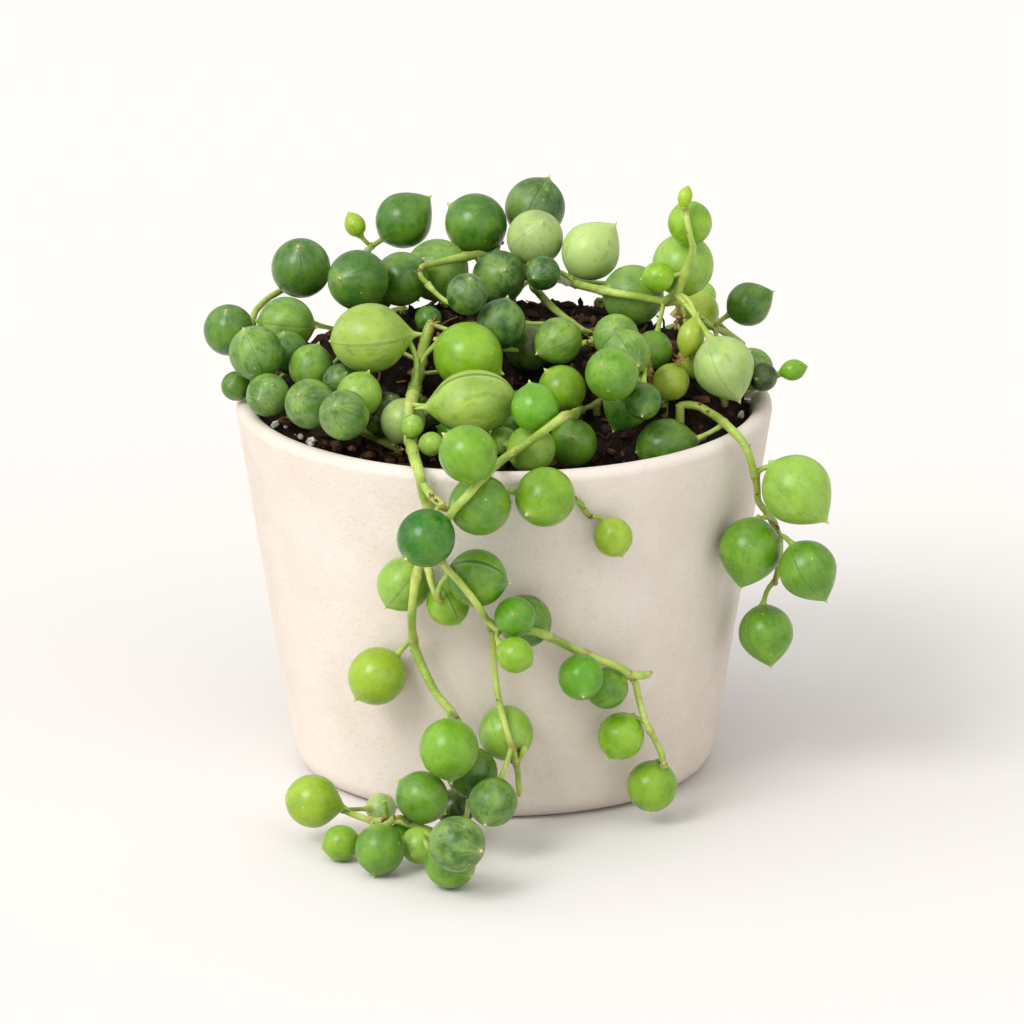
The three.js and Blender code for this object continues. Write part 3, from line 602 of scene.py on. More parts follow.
def layStalk(owner, laid):  # takes the first clear way, or else the clearest, and says whether it is clear
    ends = spines(owner)
    ends = ends[np.argsort(np.linalg.norm(ends - laid["centre"], axis=1), kind="stable")]
    if laid["axis"] is None:
        laid["axis"] = unit(laid["centre"] - ends[0])
    at, radii, numbers = placedSoFar()
    near = np.linalg.norm(at - laid["centre"], axis=1) < stalkWays["near"]
    near &= numbers != owner["number"]
    others, reach = at[near], radii[near] + plant["stalkRadius"] + plant["gap"]
    best = -math.inf
    for curve, cost in stalkCurves(laid, ends):
        spots = bend(*curve)
        potClear = bool(clearOfPot(spots[:-2], plant["stalkRadius"]).all())
        worst = math.inf
        if len(others):
            worst = (np.linalg.norm(spots[:, None] - others[None], axis=2) - reach).min()
        clear = potClear and worst > -1e-9
        score = worst - (0 if potClear else stalkWays["potCost"]) - cost
        if clear or score > best:
            best = score
            laid["stalk"] = curve
        if clear:
            break
    place(bend(*laid["stalk"]), plant["stalkRadius"], owner)
    return clear


def layAll():
    owners = []
    for number, name in enumerate((*strings, *backStrings)):
        owners.append(dict(name=name, number=number, pearlsLaid=[], stemsLaid=[]))
    queue = []
    for owner, items in zip(owners, strings.values()):
        queue += [(owner, item) for item in items]
    for owner, item in sorted(queue, key=lambda entry: entry[1]["rank"]):
        lay = layPearl if "look" in item else layStem
        lay(owner, item)
    for owner, plan in zip(owners[len(strings):], backStrings.values()):
        layBackString(owner, plan)
    for owner in owners:
        for laid in owner["pearlsLaid"]:
            layStalk(owner, laid)
    return owners


fillers = {  # more pearls low in the crown, which hide behind those before them in the front view
    "seed": 17,
    "tries": 5000,
    "radius": (2.5, 4.2),
    "side": (-36, 36),
    "depth": (-20, 36),
    "rest": 1.17,
    "lift": 5,
    "longest": 12,  # how far the nearest stem may be
    "covers": 1.5,  # the least radius of a ball that can hide one
    "margin": 1.2,
    "slack": 0.6,
    "looks": ("dark", "mid", "glaucous", "mottled", "deep", "fresh"),
}


def hiddenInFront(centre, radius):
    at, radii, _ = placedSoFar()
    large = radii > fillers["covers"]
    shown, depth, size = shownAt(at[large], radii[large])
    (spot,), (far,), (own,) = shownAt(centre, radius)
    nearSide = centre[1] - radius - fillers["margin"]
    for k in range(13):  # its middle, and twelve points round its edge
        out = 0.97 * own if k < 12 else 0
        u, v = spot[0] + out * math.cos(k * math.pi / 6), spot[1] + out * math.sin(k * math.pi / 6)
        covered = (np.hypot(shown[:, 0] - u, shown[:, 1] - v) < size) & (depth < far)
        if not covered.any() and sightEnd(u, v, 0.05, nearSide) > nearSide - fillers["slack"]:
            return False
    return True


def layFillers(owners):
    draw = random.Random(fillers["seed"])
    ends = [spines(owner) for owner in owners]
    for _ in range(fillers["tries"]):
        radius = draw.uniform(*fillers["radius"])
        x, y = draw.uniform(*fillers["side"]), draw.uniform(*fillers["depth"])
        lift = max(0, draw.uniform(-1, 1)) * fillers["lift"]
        rest = float(soilHeight(x, y)) + fillers["rest"] * radius + plant["gap"]
        centre = np.array([x, y, rest + lift])
        away = [np.linalg.norm(points - centre, axis=1).min() for points in ends]
        if min(away) > fillers["longest"] or tooClose(centre, radius + plant["gap"]):
            continue
        if not clearOfPot(centre, radius)[0] or not hiddenInFront(centre, radius):
            continue
        owner = owners[int(np.argmin(away))]
        laid = newPearl(centre, radius, dict(look=draw.choice(fillers["looks"])))
        before = placed["count"]
        if layStalk(owner, laid):
            place(centre, radius, owner)
            owner["pearlsLaid"].append(laid)
        else:
            placed["count"] = before


owners = layAll()
layFillers(owners)
print("laid", sum(len(o["pearlsLaid"]) for o in owners), "pearls on", len(owners), "strings")

# colours and nodes of materials


def fromScreen(color):  # 0-255 as seen on a screen, to a linear colour
    out = []
    for value in color:
        c = value / 255
        out.append(c / 12.92 if c <= 0.04045 else ((c + 0.055) / 1.055) ** 2.4)
    return (*out, 1)


def fromScreens(**colors):
    return {name: fromScreen(color) for name, color in colors.items()}


class Nodes:  # a material's node tree, with short ways to add to it
    def __init__(self, name):
        self.material = bpy.data.materials.new(name)
        self.material.use_nodes = True
        self.tree = self.material.node_tree
        self.place = self.add("TexCoord", "Object")

    def put(self, sockets, values):
        for key, value in values.items():
            if isinstance(value, bpy.types.NodeSocket):
                self.tree.links.new(value, sockets[key])
            else:
                sockets[key].default_value = value

    def add(self, kind, output, values=(), **settings):
        node = self.tree.nodes.new("ShaderNode" + kind)
        for key, value in settings.items():
            setattr(node, key, value)
        self.put(node.inputs, dict(values))
        return node.outputs[output]

    def attribute(self, name, output="Color"):
        return self.add("Attribute", output, attribute_name=name)

    def noise(self, scale, detail=2, roughness=0.5, at=None):
        values = {"Vector": at or self.place, "Scale": scale, "Detail": detail, "Roughness": roughness}
        return self.add("TexNoise", "Fac", values)

    def cells(self, scale):
        return self.add("TexVoronoi", "Distance", {"Vector": self.place, "Scale": scale})

    def math(self, operation, *values, clamp=False):
        return self.add("Math", "Value", enumerate(values), operation=operation, use_clamp=clamp)

    def vector(self, operation, *values, output="Vector"):
        return self.add("VectorMath", output, enumerate(values), operation=operation)

    def times(self, first, *others):
        for other in others:
            first = self.math("MULTIPLY", first, other)
        return first

    def plus(self, first, second):
        return self.math("ADD", first, second)

    def ease(self, value, low, high, start=0.0, end=1.0):
        values = {"Value": value, "From Min": low, "From Max": high, "To Min": start, "To Max": end}
        return self.add("MapRange", "Result", values, interpolation_type="SMOOTHSTEP")

    def mix(self, share, a, b, blend="MIX"):
        return self.add("Mix", 2, {"Factor": share, 6: a, 7: b}, data_type="RGBA", blend_type=blend)

    def cover(self, under, over, *shares):  # the shares multiply
        return self.mix(self.times(*shares), under, over)

    def split(self, kind, value):  # XYZ or Color
        return self.add("Separate" + kind, 0, {0: value}).node.outputs

    def bump(self, height, distance, strength):
        return self.add("Bump", "Normal", {"Height": height, "Distance": distance, "Strength": strength})

    def finish(self, color, roughness, fixed, **linked):
        values = {"Base Color": color, "Roughness": roughness, **fixed, **linked}
        self.put(self.tree.nodes["Principled BSDF"].inputs, values)
        return self.material


# making meshes


def leaveEdit():
    bpy.ops.object.mode_set(mode="OBJECT")


def startPiece():
    if bpy.context.mode != "OBJECT":
        leaveEdit()
    bpy.ops.object.select_all(action="DESELECT")


def selectOnly(*things):
    startPiece()
    for thing in things:
        thing.select_set(True)
    bpy.context.view_layer.objects.active = things[0]


def editAll():  # edit mode with all selected
    piece = bpy.context.active_object
    bpy.ops.object.mode_set(mode="EDIT")
    bpy.ops.mesh.select_all(action="SELECT")
    return piece


def pick(test, kind="verts"):  # in edit mode, selects the vertices or faces that pass the test, and no others
    mesh = bpy.context.edit_object.data
    edit = bmesh.from_edit_mesh(mesh)
    for group in (edit.verts, edit.edges, edit.faces):
        for element in group:
            element.select = False
    for element in getattr(edit, kind):
        if test(element):
            element.select_set(True)
    edit.select_flush_mode()
    bmesh.update_edit_mesh(mesh)


def resize(sizes, middle=(0, 0, 0)):
    bpy.ops.transform.resize(value=sizes, center_override=middle)


def move(*way):
    bpy.ops.transform.translate(value=way)


def closeUp():  # all faces outwards
    bpy.ops.mesh.select_all(action="SELECT")
    bpy.ops.mesh.normals_make_consistent(inside=False)
    leaveEdit()


def smoothed(piece, name=None):
    selectOnly(piece)
    bpy.ops.object.shade_smooth()
    piece.name = name or piece.name
    return piece


def coordinates(mesh):
    out = np.zeros(len(mesh.vertices) * 3)
    mesh.vertices.foreach_get("co", out)
    return out.reshape(-1, 3)


def keep(mesh, name, values, kind="color"):  # an attribute, with a value for each point or one for all
    attribute = mesh.attributes.new(name, "FLOAT_" + kind.upper(), "POINT")
    size = 4 if kind == "color" else 3
    values = np.broadcast_to(np.asarray(values, np.float32), (len(mesh.vertices), size))
    attribute.data.foreach_set(kind, np.ascontiguousarray(values).ravel())


def joined(pieces, name):
    selectOnly(*pieces)
    if len(pieces) > 1:
        bpy.ops.object.join()
    piece = bpy.context.view_layer.objects.active
    piece.name = name
    piece.data.name = name
    return piece


def tubeAlong(points, radii, sides=8):
    shape = bpy.data.curves.new("tube", "CURVE")
    shape.dimensions = "3D"
    shape.bevel_depth = mm
    shape.bevel_resolution = sides // 2 - 2 if sides > 4 else 0
    shape.use_fill_caps = True
    spline = shape.splines.new("POLY")
    spline.points.add(len(points) - 1)
    for spot, p, r in zip(spline.points, points, radii):
        spot.co = (*(p * mm), 1)
        spot.radius = r
    piece = bpy.data.objects.new("tube", shape)
    bpy.context.scene.collection.objects.link(piece)
    selectOnly(piece)
    bpy.ops.object.convert(target="MESH")
    return bpy.context.active_object


def copyOf(form, turn, sizes, at, tint):
    piece = form.copy()
    piece.data = form.data.copy()
    bpy.context.scene.collection.objects.link(piece)
    moved = Matrix.Translation(Vector(at)) @ turn.to_matrix().to_4x4() @ Matrix.Diagonal((*sizes, 1))
    piece.data.transform(Matrix.Scale(mm, 4) @ moved)
    keep(piece.data, "tint", tint)
    return piece


def finishPiece(piece, material, nodes):
    piece.data.materials.clear()
    piece.data.materials.append(material)
    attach(piece, "root")
    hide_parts(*nodes)


# the pot


def arc(x, y, radius, start, end, count):
    turns = [math.radians(start + (end - start) * i / count) for i in range(count + 1)]
    return [(x + radius * math.cos(t), y + radius * math.sin(t)) for t in turns]


def potProfile():  # from the middle of the foot up the outside, over the lip and down the inside
    lip = pot["wall"] / 2
    tip = math.degrees(lean)
    edge = pot["edgeRound"]
    inside = pot["innerRound"]
    edgeCentre = outerRadius(edge) - edge / math.cos(lean)
    insideCentre = innerRadius(pot["floor"] + inside) - inside / math.cos(lean)
    lipMiddle = (pot["rimRadius"] - lip - 0.1, pot["height"] - lip)
    profile = [(0.02, 0.0), (14, 0.0), (24, 0.0)]
    profile += arc(edgeCentre, edge, edge, -90, -tip, 10)
    low = profile[-1]
    high = (lipMiddle[0] + lip * math.cos(-lean), lipMiddle[1] - lip * math.sin(lean))
    for i in range(1, 14):
        profile.append(tuple(a + (b - a) * i / 14 for a, b in zip(low, high)))
    profile += arc(*lipMiddle, lip, -tip, 180 - tip, 16)
    profile += arc(insideCentre, pot["floor"] + inside, inside, -tip, -90, 6)
    return profile + [(0.02, pot["floor"])]


def makePot():
    profile = potProfile()
    startPiece()
    bpy.ops.mesh.primitive_plane_add(size=1, location=(0, 0, 0))
    piece = editAll()
    bpy.ops.mesh.merge(type="CENTER")
    move(profile[0][0] * mm, 0, profile[0][1] * mm)
    for (r0, z0), (r1, z1) in zip(profile, profile[1:]):
        bpy.ops.mesh.extrude_region_move(
            TRANSFORM_OT_translate={"value": ((r1 - r0) * mm, 0, (z1 - z0) * mm)})
    bpy.ops.mesh.select_all(action="SELECT")
    bpy.ops.mesh.spin(steps=pot["steps"], angle=2 * math.pi, center=(0, 0, 0), axis=(0, 0, 1))
    bpy.ops.mesh.select_all(action="SELECT")
    bpy.ops.mesh.remove_doubles(threshold=0.00006)
    closeUp()
    return smoothed(piece, "potBody")


clayTints = fromScreens(
    clay=(216, 206, 196), warm=(211, 198, 185), pale=(222, 214, 207), speck=(160, 142, 120))


def ceramicClay():
    n = Nodes("ceramicClay")
    color = n.cover(clayTints["clay"], clayTints["warm"], n.ease(n.noise(45, 4, 0.6), 0.35, 0.7))
    color = n.cover(color, clayTints["pale"], n.ease(n.noise(210, 3), 0.45, 0.75), 0.35)
    specks = n.ease(n.cells(900), 0.16, 0.05)
    rare = n.ease(n.noise(420, 1), 0.56, 0.66)
    color = n.cover(color, clayTints["speck"], specks, rare, 0.55)
    grain = n.noise(1300, 4, 0.65)
    coarse = n.ease(n.noise(30, 2), 0.35, 0.65, 0.45, 1)  # the grain stands out more in some places
    color = n.cover(color, clayTints["speck"], n.ease(grain, 0.56, 0.7), 0.16)
    pits = n.ease(n.cells(800), 0.0, 0.2)
    height = n.times(n.plus(grain, n.times(pits, 0.35)), coarse)
    height = n.plus(height, n.times(n.noise(260, 3), 0.4))
    rough = n.ease(n.noise(300, 3), 0.3, 0.7, 0.5, 0.66)
    gloss = {"IOR": 1.45, "Specular IOR Level": 0.35}
    return n.finish(color, rough, gloss, Normal=n.bump(height, 0.0004, 0.45))


finishPiece(makePot(), ceramicClay(), ["pot"])
print("pot made")

# soil, bark, perlite and dry bits

bed = {"edgeHeight": 56, "levels": (40, 22), "edgeRound": 4.5, "rough": 0.9, "fine": 0.35, "sink": 0.2}


def soilEdge(z):
    return innerRadius(z) - plant["gap"] / math.cos(lean)


def extrudeTo(radius, z):  # the ring that is selected, drawn down and in
    now = [v.co for v in bmesh.from_edit_mesh(bpy.context.edit_object.data).verts if v.select]
    share = radius / math.hypot(now[0].x, now[0].y)
    bpy.ops.mesh.extrude_edges_move(TRANSFORM_OT_translate={"value": (0, 0, z - now[0].z)})
    resize((share, share, 1), (0, 0, z))


def soilShell():  # rings on a flat top, and the side and foot below it
    high, low = bed["edgeHeight"], pot["floor"] + plant["gap"]
    foot = low + bed["edgeRound"]
    startPiece()
    bpy.ops.mesh.primitive_circle_add(
        vertices=soil["around"], radius=soilEdge(high), fill_type="NOTHING", location=(0, 0, high))
    bpy.ops.object.transform_apply(location=True, rotation=True, scale=True)
    piece = editAll()
    for ring in range(soil["rings"] - 1, 0, -1):
        share = ring / (ring + 1)
        bpy.ops.mesh.extrude_edges_move()
        resize((share, share, 1), (0, 0, high))
    bpy.ops.mesh.edge_face_add()
    bpy.ops.mesh.poke()
    pick(lambda vert: math.hypot(vert.co.x, vert.co.y) > soilEdge(high) - 0.01)
    for z in (*bed["levels"], foot):
        extrudeTo(soilEdge(z), z)
    extrudeTo(soilEdge(foot) - bed["edgeRound"], low)
    bpy.ops.mesh.edge_face_add()
    closeUp()
    return piece


def makeSoil():
    piece = soilShell()
    high = bed["edgeHeight"]
    points = coordinates(piece.data)
    top = points[:, 2] > high - 0.01
    x, y = points[top, 0], points[top, 1]
    rough = np.array([noise.fractal(Vector((a * 0.33, b * 0.33, 0)), 0.7, 2.1, 5) for a, b in zip(x, y)])
    fine = np.array([noise.noise(Vector((a * 1.3, b * 1.3, 4))) for a, b in zip(x, y)])
    z = soilHeight(x, y) + bed["rough"] * rough + bed["fine"] * fine - bed["sink"]
    out = np.hypot(x, y)
    shrink = np.where(out > soilEdge(high) - 0.01, soilEdge(z) / np.maximum(out, 1), 1)
    points[top] = np.stack([x * shrink, y * shrink, z], 1)
    piece.data.vertices.foreach_set("co", (points * mm).ravel())
    piece.data.update()
    return smoothed(piece, "soilBed")


def soilMix():
    tints = fromScreens(dark=(24, 17, 12), brown=(54, 38, 27), rust=(98, 66, 42))
    n = Nodes("soilMix")
    color = n.cover(tints["dark"], tints["brown"], n.ease(n.noise(380, 6, 0.7), 0.4, 0.68))
    bits = n.ease(n.cells(620), 0.3, 0.05)
    chosen = n.ease(n.noise(240, 2), 0.52, 0.66)
    color = n.cover(color, tints["rust"], bits, chosen, 0.7)
    height = n.plus(n.noise(900, 8, 0.75), n.times(n.cells(520), 0.8))
    return n.finish(color, 0.95, {"Specular IOR Level": 0.2}, Normal=n.bump(height, 0.0006, 0.9))


def crumbForm(name, seed, least=0.55, most=1.35):
    startPiece()
    bpy.ops.mesh.primitive_ico_sphere_add(subdivisions=1, radius=1)
    form = editAll()
    form.name = name
    draw = random.Random(seed)
    for spot in [v.co.copy() for v in bmesh.from_edit_mesh(form.data).verts]:
        pick(lambda vert: (vert.co - spot).length < 0.01)
        resize((draw.uniform(least, most),) * 3)
    leaveEdit()
    return form


def chipForm(name):
    startPiece()
    bpy.ops.mesh.primitive_cube_add(size=2)
    form = editAll()
    form.name = name
    bpy.ops.mesh.bevel(offset=0.45, segments=1, affect="EDGES")
    pick(lambda vert: vert.co.x > 0.4)
    resize((1, 0.62, 0.7))
    pick(lambda vert: vert.co.x < -0.4 and vert.co.y > 0)
    move(-0.25, -0.2, 0.12)
    leaveEdit()
    return form


def randomTurn(draw, tilt=3.142):
    turns = draw.uniform(-tilt, tilt), draw.uniform(-tilt, tilt), draw.uniform(0, 6.283)
    return Euler(turns).to_quaternion()


soilBits = {  # where perlite and larger bark show in the front view, and how many of the rest lie about
    "perliteSpots": [(298, 437), (315, 444), (281, 428), (742, 416), (748, 402), (734, 398)],
    "barkSpots": [(365, 457), (350, 450), (395, 462), (290, 424), (548, 455), (612, 452), (640, 300),
                  (575, 318), (742, 388), (700, 400), (256, 398), (330, 322)],
    "crumbs": 1500,
    "chips": 190,
    "fibres": 46,
    "within": {"crumbs": 38, "chips": 37, "fibres": 35, "spots": 37.5},  # how far from the middle
    "depths": (-37, 36),
}
soilTints = {
    "crumb": [(28, 20, 14), (40, 28, 20), (60, 42, 28), (88, 60, 40), (22, 16, 12), (48, 33, 23),
              (110, 74, 48)],
    "chip": [(84, 57, 38), (62, 42, 29), (112, 78, 52), (46, 32, 24), (134, 96, 66)],
    "perlite": [(250, 244, 234), (236, 228, 214), (255, 252, 246)],
    "bark": [(142, 92, 62), (120, 78, 52), (156, 112, 80)],
    "fibre": [(98, 78, 48), (70, 50, 34), (136, 112, 74), (58, 42, 30)],
}


def anyTint(draw, kind):
    return fromScreen(draw.choice(soilTints[kind]))


def onSoil(u, v):  # the point of the soil that shows at (u, v)
    depths = np.arange(*soilBits["depths"], plant["depthStep"])
    points = np.array([sighted(u, v, y) for y in depths])
    off = np.abs(points[:, 2] - soilHeight(points[:, 0], points[:, 1]))
    off += np.maximum(0, np.hypot(points[:, 0], points[:, 1]) - soilBits["within"]["spots"])
    x, y, _ = points[np.argmin(off)]
    return x, y, float(soilHeight(x, y))


def soilSpot(draw, kind):
    angle, radius = draw.uniform(0, 2 * math.pi), soilBits["within"][kind] * math.sqrt(draw.random())
    x, y = radius * math.cos(angle), radius * math.sin(angle)
    return x, y, float(soilHeight(x, y))


def looseCrumb(draw, forms):
    x, y, z = soilSpot(draw, "crumbs")
    size = 0.22 + 0.85 * draw.random() ** 2.6
    sizes = (size * draw.uniform(0.8, 1.6), size, size * draw.uniform(0.6, 1))
    return copyOf(draw.choice(forms), randomTurn(draw), sizes, (x, y, z + 0.2 * size), anyTint(draw, "crumb"))


def looseChip(draw, form):
    x, y, z = soilSpot(draw, "chips")
    size = draw.uniform(0.45, 1.5)
    sizes = (size * draw.uniform(1.1, 2.1), size * 0.6, size * 0.28)
    return copyOf(form, randomTurn(draw, 0.6), sizes, (x, y, z + 0.25), anyTint(draw, "chip"))


def perliteGrain(draw, form, at):
    size = draw.uniform(0.4, 0.85)
    away = (at[0] + draw.uniform(-0.9, 0.9), at[1] + draw.uniform(-0.5, 0.5), at[2] + 0.5 * size)
    tint = anyTint(draw, "perlite")
    return copyOf(form, randomTurn(draw), (size * 1.2, size, size * 0.85), away, tint)


def largeBark(draw, form, at):
    size = draw.uniform(0.8, 1.3)
    tint = anyTint(draw, "bark")
    return copyOf(form, randomTurn(draw, 0.6), (size * 1.5, size * 0.8, size * 0.5), at, tint)


def dryFibre(draw):
    x, y, z = soilSpot(draw, "fibres")
    tint = anyTint(draw, "fibre")
    middle, length, thick = np.array((x, y, z + 0.4)), draw.uniform(3, 8), draw.uniform(0.1, 0.22)
    turn = draw.uniform(0, 2 * math.pi)
    along = np.array([math.cos(turn), math.sin(turn), draw.uniform(-0.15, 0.35)])
    across = np.array([-along[1], along[0], 0]) * length * draw.uniform(-0.3, 0.3)
    ends = [middle + along * length * way / 2 for way in (-1, 1)]
    points = bend(ends[0], middle + across + np.array([0, 0, 0.6]), ends[1], 7)
    points[:, 2] = np.maximum(points[:, 2], soilHeight(points[:, 0], points[:, 1]) - 0.2)
    piece = tubeAlong(points, np.full(8, thick), 4)
    keep(piece.data, "tint", tint)
    return piece


def makeCrumbs():
    draw = random.Random(51)
    crumbs = [crumbForm("crumb", seed) for seed in (3, 8, 21)]
    chip = chipForm("chip")
    grain = crumbForm("grain", 5, 0.8, 1.12)  # perlite is rounder
    pieces = [looseCrumb(draw, crumbs) for _ in range(soilBits["crumbs"])]
    pieces += [looseChip(draw, chip) for _ in range(soilBits["chips"])]
    for spot in soilBits["perliteSpots"]:
        pieces += [perliteGrain(draw, grain, onSoil(*spot)) for _ in range(2)]
    pieces += [largeBark(draw, chip, onSoil(*spot)) for spot in soilBits["barkSpots"]]
    pieces += [dryFibre(draw) for _ in range(soilBits["fibres"])]
    for form in (*crumbs, chip, grain):
        bpy.data.objects.remove(form)
    return joined(pieces, "soilCrumbs")


def crumbBark():
    n = Nodes("crumbBark")
    tint = n.attribute("tint")
    grain = n.ease(n.noise(1300, 5, 0.7), 0.3, 0.75)
    color = n.cover(tint, n.mix(1.0, tint, (0.35, 0.33, 0.32, 1), "MULTIPLY"), grain, 0.5)
    bumps = n.bump(n.noise(2100, 6, 0.7), 0.0003, 0.8)
    return n.finish(color, 0.9, {"Specular IOR Level": 0.25}, Normal=bumps)


finishPiece(makeSoil(), soilMix(), ["soil"])
finishPiece(makeCrumbs(), crumbBark(), ["soil"])
print("soil made")

# pearls

leafForms = {  # how far each ring of the leaf is lifted and narrowed, by its height
    "round": {
        "rings": {0.966: (0.012, 0.95), -0.966: (-0.01, 0.96)},
        "poles": (0.05, -0.02),
        "beak": (0.17, 0.13),  # inset, then height
        "neck": (0.14, 0.1),
    },
    "drop": {
        "rings": {0.966: (0.15, 0.5), 0.866: (0.11, 0.7), 0.707: (0.06, 0.86), 0.5: (0.02, 0.95),
                  -0.966: (-0.02, 0.9)},
        "poles": (0.2, -0.03),
        "beak": (0.07, 0.1),
        "neck": (0.12, 0.1),
    },
    "pear": {
        "rings": {0.966: (0.006, 0.97), -0.966: (-0.13, 0.5), -0.866: (-0.04, 0.8), -0.707: (0, 0.96)},
        "poles": (0.02, -0.27),
        "beak": (0.2, 0.04),
        "neck": (0.045, 0.16),
    },
    "lemon": {
        "rings": {0.966: (0.1, 0.6), 0.866: (0.06, 0.8), 0.707: (0.02, 0.93),
                  -0.966: (-0.17, 0.52), -0.866: (-0.11, 0.72), -0.707: (-0.05, 0.88), -0.5: (-0.01, 0.97)},
        "poles": (0.14, -0.25),
        "beak": (0.09, 0.1),
        "neck": (0.06, 0.14),
    },
}


def atPole(vert, way):
    return vert.co.z * way > 0.9 and math.hypot(vert.co.x, vert.co.y) < 0.01


def drawOut(way, inset, high, last):  # a beak or a neck: two steps out, each narrower
    pick(lambda face: any(atPole(vert, way) for vert in face.verts), "faces")
    bpy.ops.mesh.inset(thickness=inset)
    for aside, narrow in ((0, 0.6), (0.008, last)):
        step = (aside, 0, way * high * 0.5)
        bpy.ops.mesh.extrude_region_move(TRANSFORM_OT_translate={"value": step})
        resize((narrow, narrow, 1), (aside, 0, way))


def leafForm(name):
    shape = leafForms[name]
    startPiece()
    bpy.ops.mesh.primitive_uv_sphere_add(segments=16, ring_count=12, radius=1)
    form = editAll()
    form.name = name
    for height, (lift, narrow) in shape["rings"].items():
        pick(lambda vert: abs(vert.co.z - height) < 0.006 and math.hypot(vert.co.x, vert.co.y) > 0.1)
        resize((narrow, narrow, 1), (0, 0, height))
        move(0, 0, lift)
    for way, pole in zip((1, -1), shape["poles"]):
        pick(lambda vert: atPole(vert, way))
        move(0, 0, pole)
    drawOut(1, *shape["beak"], 0.5)
    drawOut(-1, *shape["neck"], 0.9)
    leaveEdit()
    rounding = form.modifiers.new("rounding", "SUBSURF")
    rounding.levels = rounding.render_levels = 1
    selectOnly(form)
    bpy.ops.object.modifier_apply(modifier=rounding.name)
    keep(form.data, "leafPlace", coordinates(form.data), "vector")
    return smoothed(form)


def leafTurn(laid, draw):  # the leaf's own frame: Z to its tip, X to its window
    axis, item = Vector(laid["axis"]), laid["item"]
    if "window" in item:
        window = Vector(towards(item, item["window"]))
    else:
        window = Vector((draw.uniform(-1, 1), draw.uniform(-0.6, 1), draw.uniform(-0.4, 1)))
    across = (window - axis * window.dot(axis)).normalized()
    return Matrix((across, axis.cross(across), axis)).transposed().to_quaternion()


def shade(color, amount):
    return tuple(min(255, max(0, c * amount)) for c in color)


windows = {"shown": 1.6, "other": 0.7, "share": 0.4}  # strength where the front view shows one, and elsewhere


def windowStrength(item, draw):  # some leaves turn their window away
    if "window" in item:
        return item["window"][2] if len(item["window"]) > 2 else windows["shown"]
    return windows["other"] if draw.random() < windows["share"] else 0


def makePearls(owner, forms, draw):
    pieces = []
    for laid in owner["pearlsLaid"]:
        item, r = laid["item"], laid["radius"]
        color, window, streaks, bloom = leafLooks[item["look"]]
        tint = fromScreen(shade(color, draw.uniform(0.93, 1.07)))
        turn = leafTurn(laid, draw)
        form = forms[item.get("form", "round")]
        piece = copyOf(form, turn, (r, r, r * laid["long"]), laid["centre"], tint)
        window *= windowStrength(item, draw)
        keep(piece.data, "marks", (window, streaks, bloom, draw.random()))
        pieces.append(piece)
    return joined(pieces, owner["name"] + "_leaves")


leafGloss = {
    "IOR": 1.43,
    "Specular IOR Level": 0.5,
    "Subsurface Weight": 0.2,
    "Subsurface Radius": (0.5, 1.0, 0.15),
    "Subsurface Scale": 0.002,
}
leafTints = fromScreens(
    bloom=(186, 206, 148), lit=(168, 204, 62), dots=(204, 222, 160), stalk=(160, 186, 92),
    halo=(186, 200, 130), star=(190, 208, 140), beak=(206, 202, 130), tip=(150, 118, 72))


def leafGreens(n, leaf):  # a broad change of green, soft bloom, worn blots and fine lines
    tint, streaks, pale = leaf["tint"], leaf["streaks"], leaf["pale"]
    own = n.vector("ADD", leaf["local"], leaf["shift"])  # each leaf has its own pattern
    drawn = n.vector("ADD", n.vector("MULTIPLY", leaf["local"], (1, 1, 0.4)), leaf["shift"])
    lines = n.vector("ADD", leaf["around"], n.vector("MULTIPLY", leaf["local"], (0, 0, 0.16)))
    lines = n.vector("ADD", lines, leaf["shift"])
    dark = n.mix(1.0, tint, (0.5, 0.62, 0.42, 1), "MULTIPLY")
    lit = n.mix(0.4, tint, leafTints["lit"])
    patchy = n.plus(0.2, n.times(streaks, 0.8))
    color = n.cover(tint, lit, n.ease(n.noise(1.1, 2, at=own), 0.38, 0.64), patchy)
    deeper = n.noise(1.0, 3, at=n.vector("ADD", own, (7, 3, 5)))
    color = n.cover(color, dark, n.ease(deeper, 0.46, 0.68), patchy)
    color = n.cover(color, pale, leaf["soft"], leaf["bloom"], 0.78)
    marks = (  # noise, where a mark starts and is full, its strength and its colour
        ((3.4, 3, 0.55, drawn), (0.58, 0.64), 0.8, dark),
        ((6.5, 2, 0.5, drawn), (0.62, 0.68), 0.6, dark),
        ((9, 3, 0.6, lines), (0.54, 0.7), 0.22, dark),
        ((15, 2, 0.6, lines), (0.58, 0.74), 0.22, pale),
    )
    for pattern, edge, strength, over in marks:
        color = n.cover(color, over, n.ease(n.noise(*pattern), *edge), streaks, strength)
    return color


def leafWindow(n, leaf, color):  # a clear dark slit from the stalk to the tip, with paler lips
    window, (x, y, z) = leaf["window"], leaf["xyz"]
    reach = n.plus(0.035, n.times(window, 0.05))
    wide = n.math("SQRT", n.math("MAXIMUM", n.math("SUBTRACT", 1.0, n.times(z, z)), 0))
    off = n.math("DIVIDE", n.math("ABSOLUTE", y), n.math("MAXIMUM", n.times(wide, reach), 0.01))
    front = n.ease(x, 0.02, 0.1)
    slit = n.times(n.ease(off, 1.1, 0.75), front)
    lip = n.math("SUBTRACT", n.ease(off, 2.1, 1.3), n.ease(off, 1.2, 0.9), clamp=True)
    color = n.cover(color, n.mix(1.0, leaf["tint"], (0.36, 0.44, 0.22, 1), "MULTIPLY"), slit, window)
    lips = n.times(n.math("MAXIMUM", window, n.times(leaf["bloom"], 0.8)), 0.6)
    lips = n.times(lips, n.ease(window, 0, 0.1))
    return n.cover(color, leaf["pale"], n.times(lip, front), lips), slit


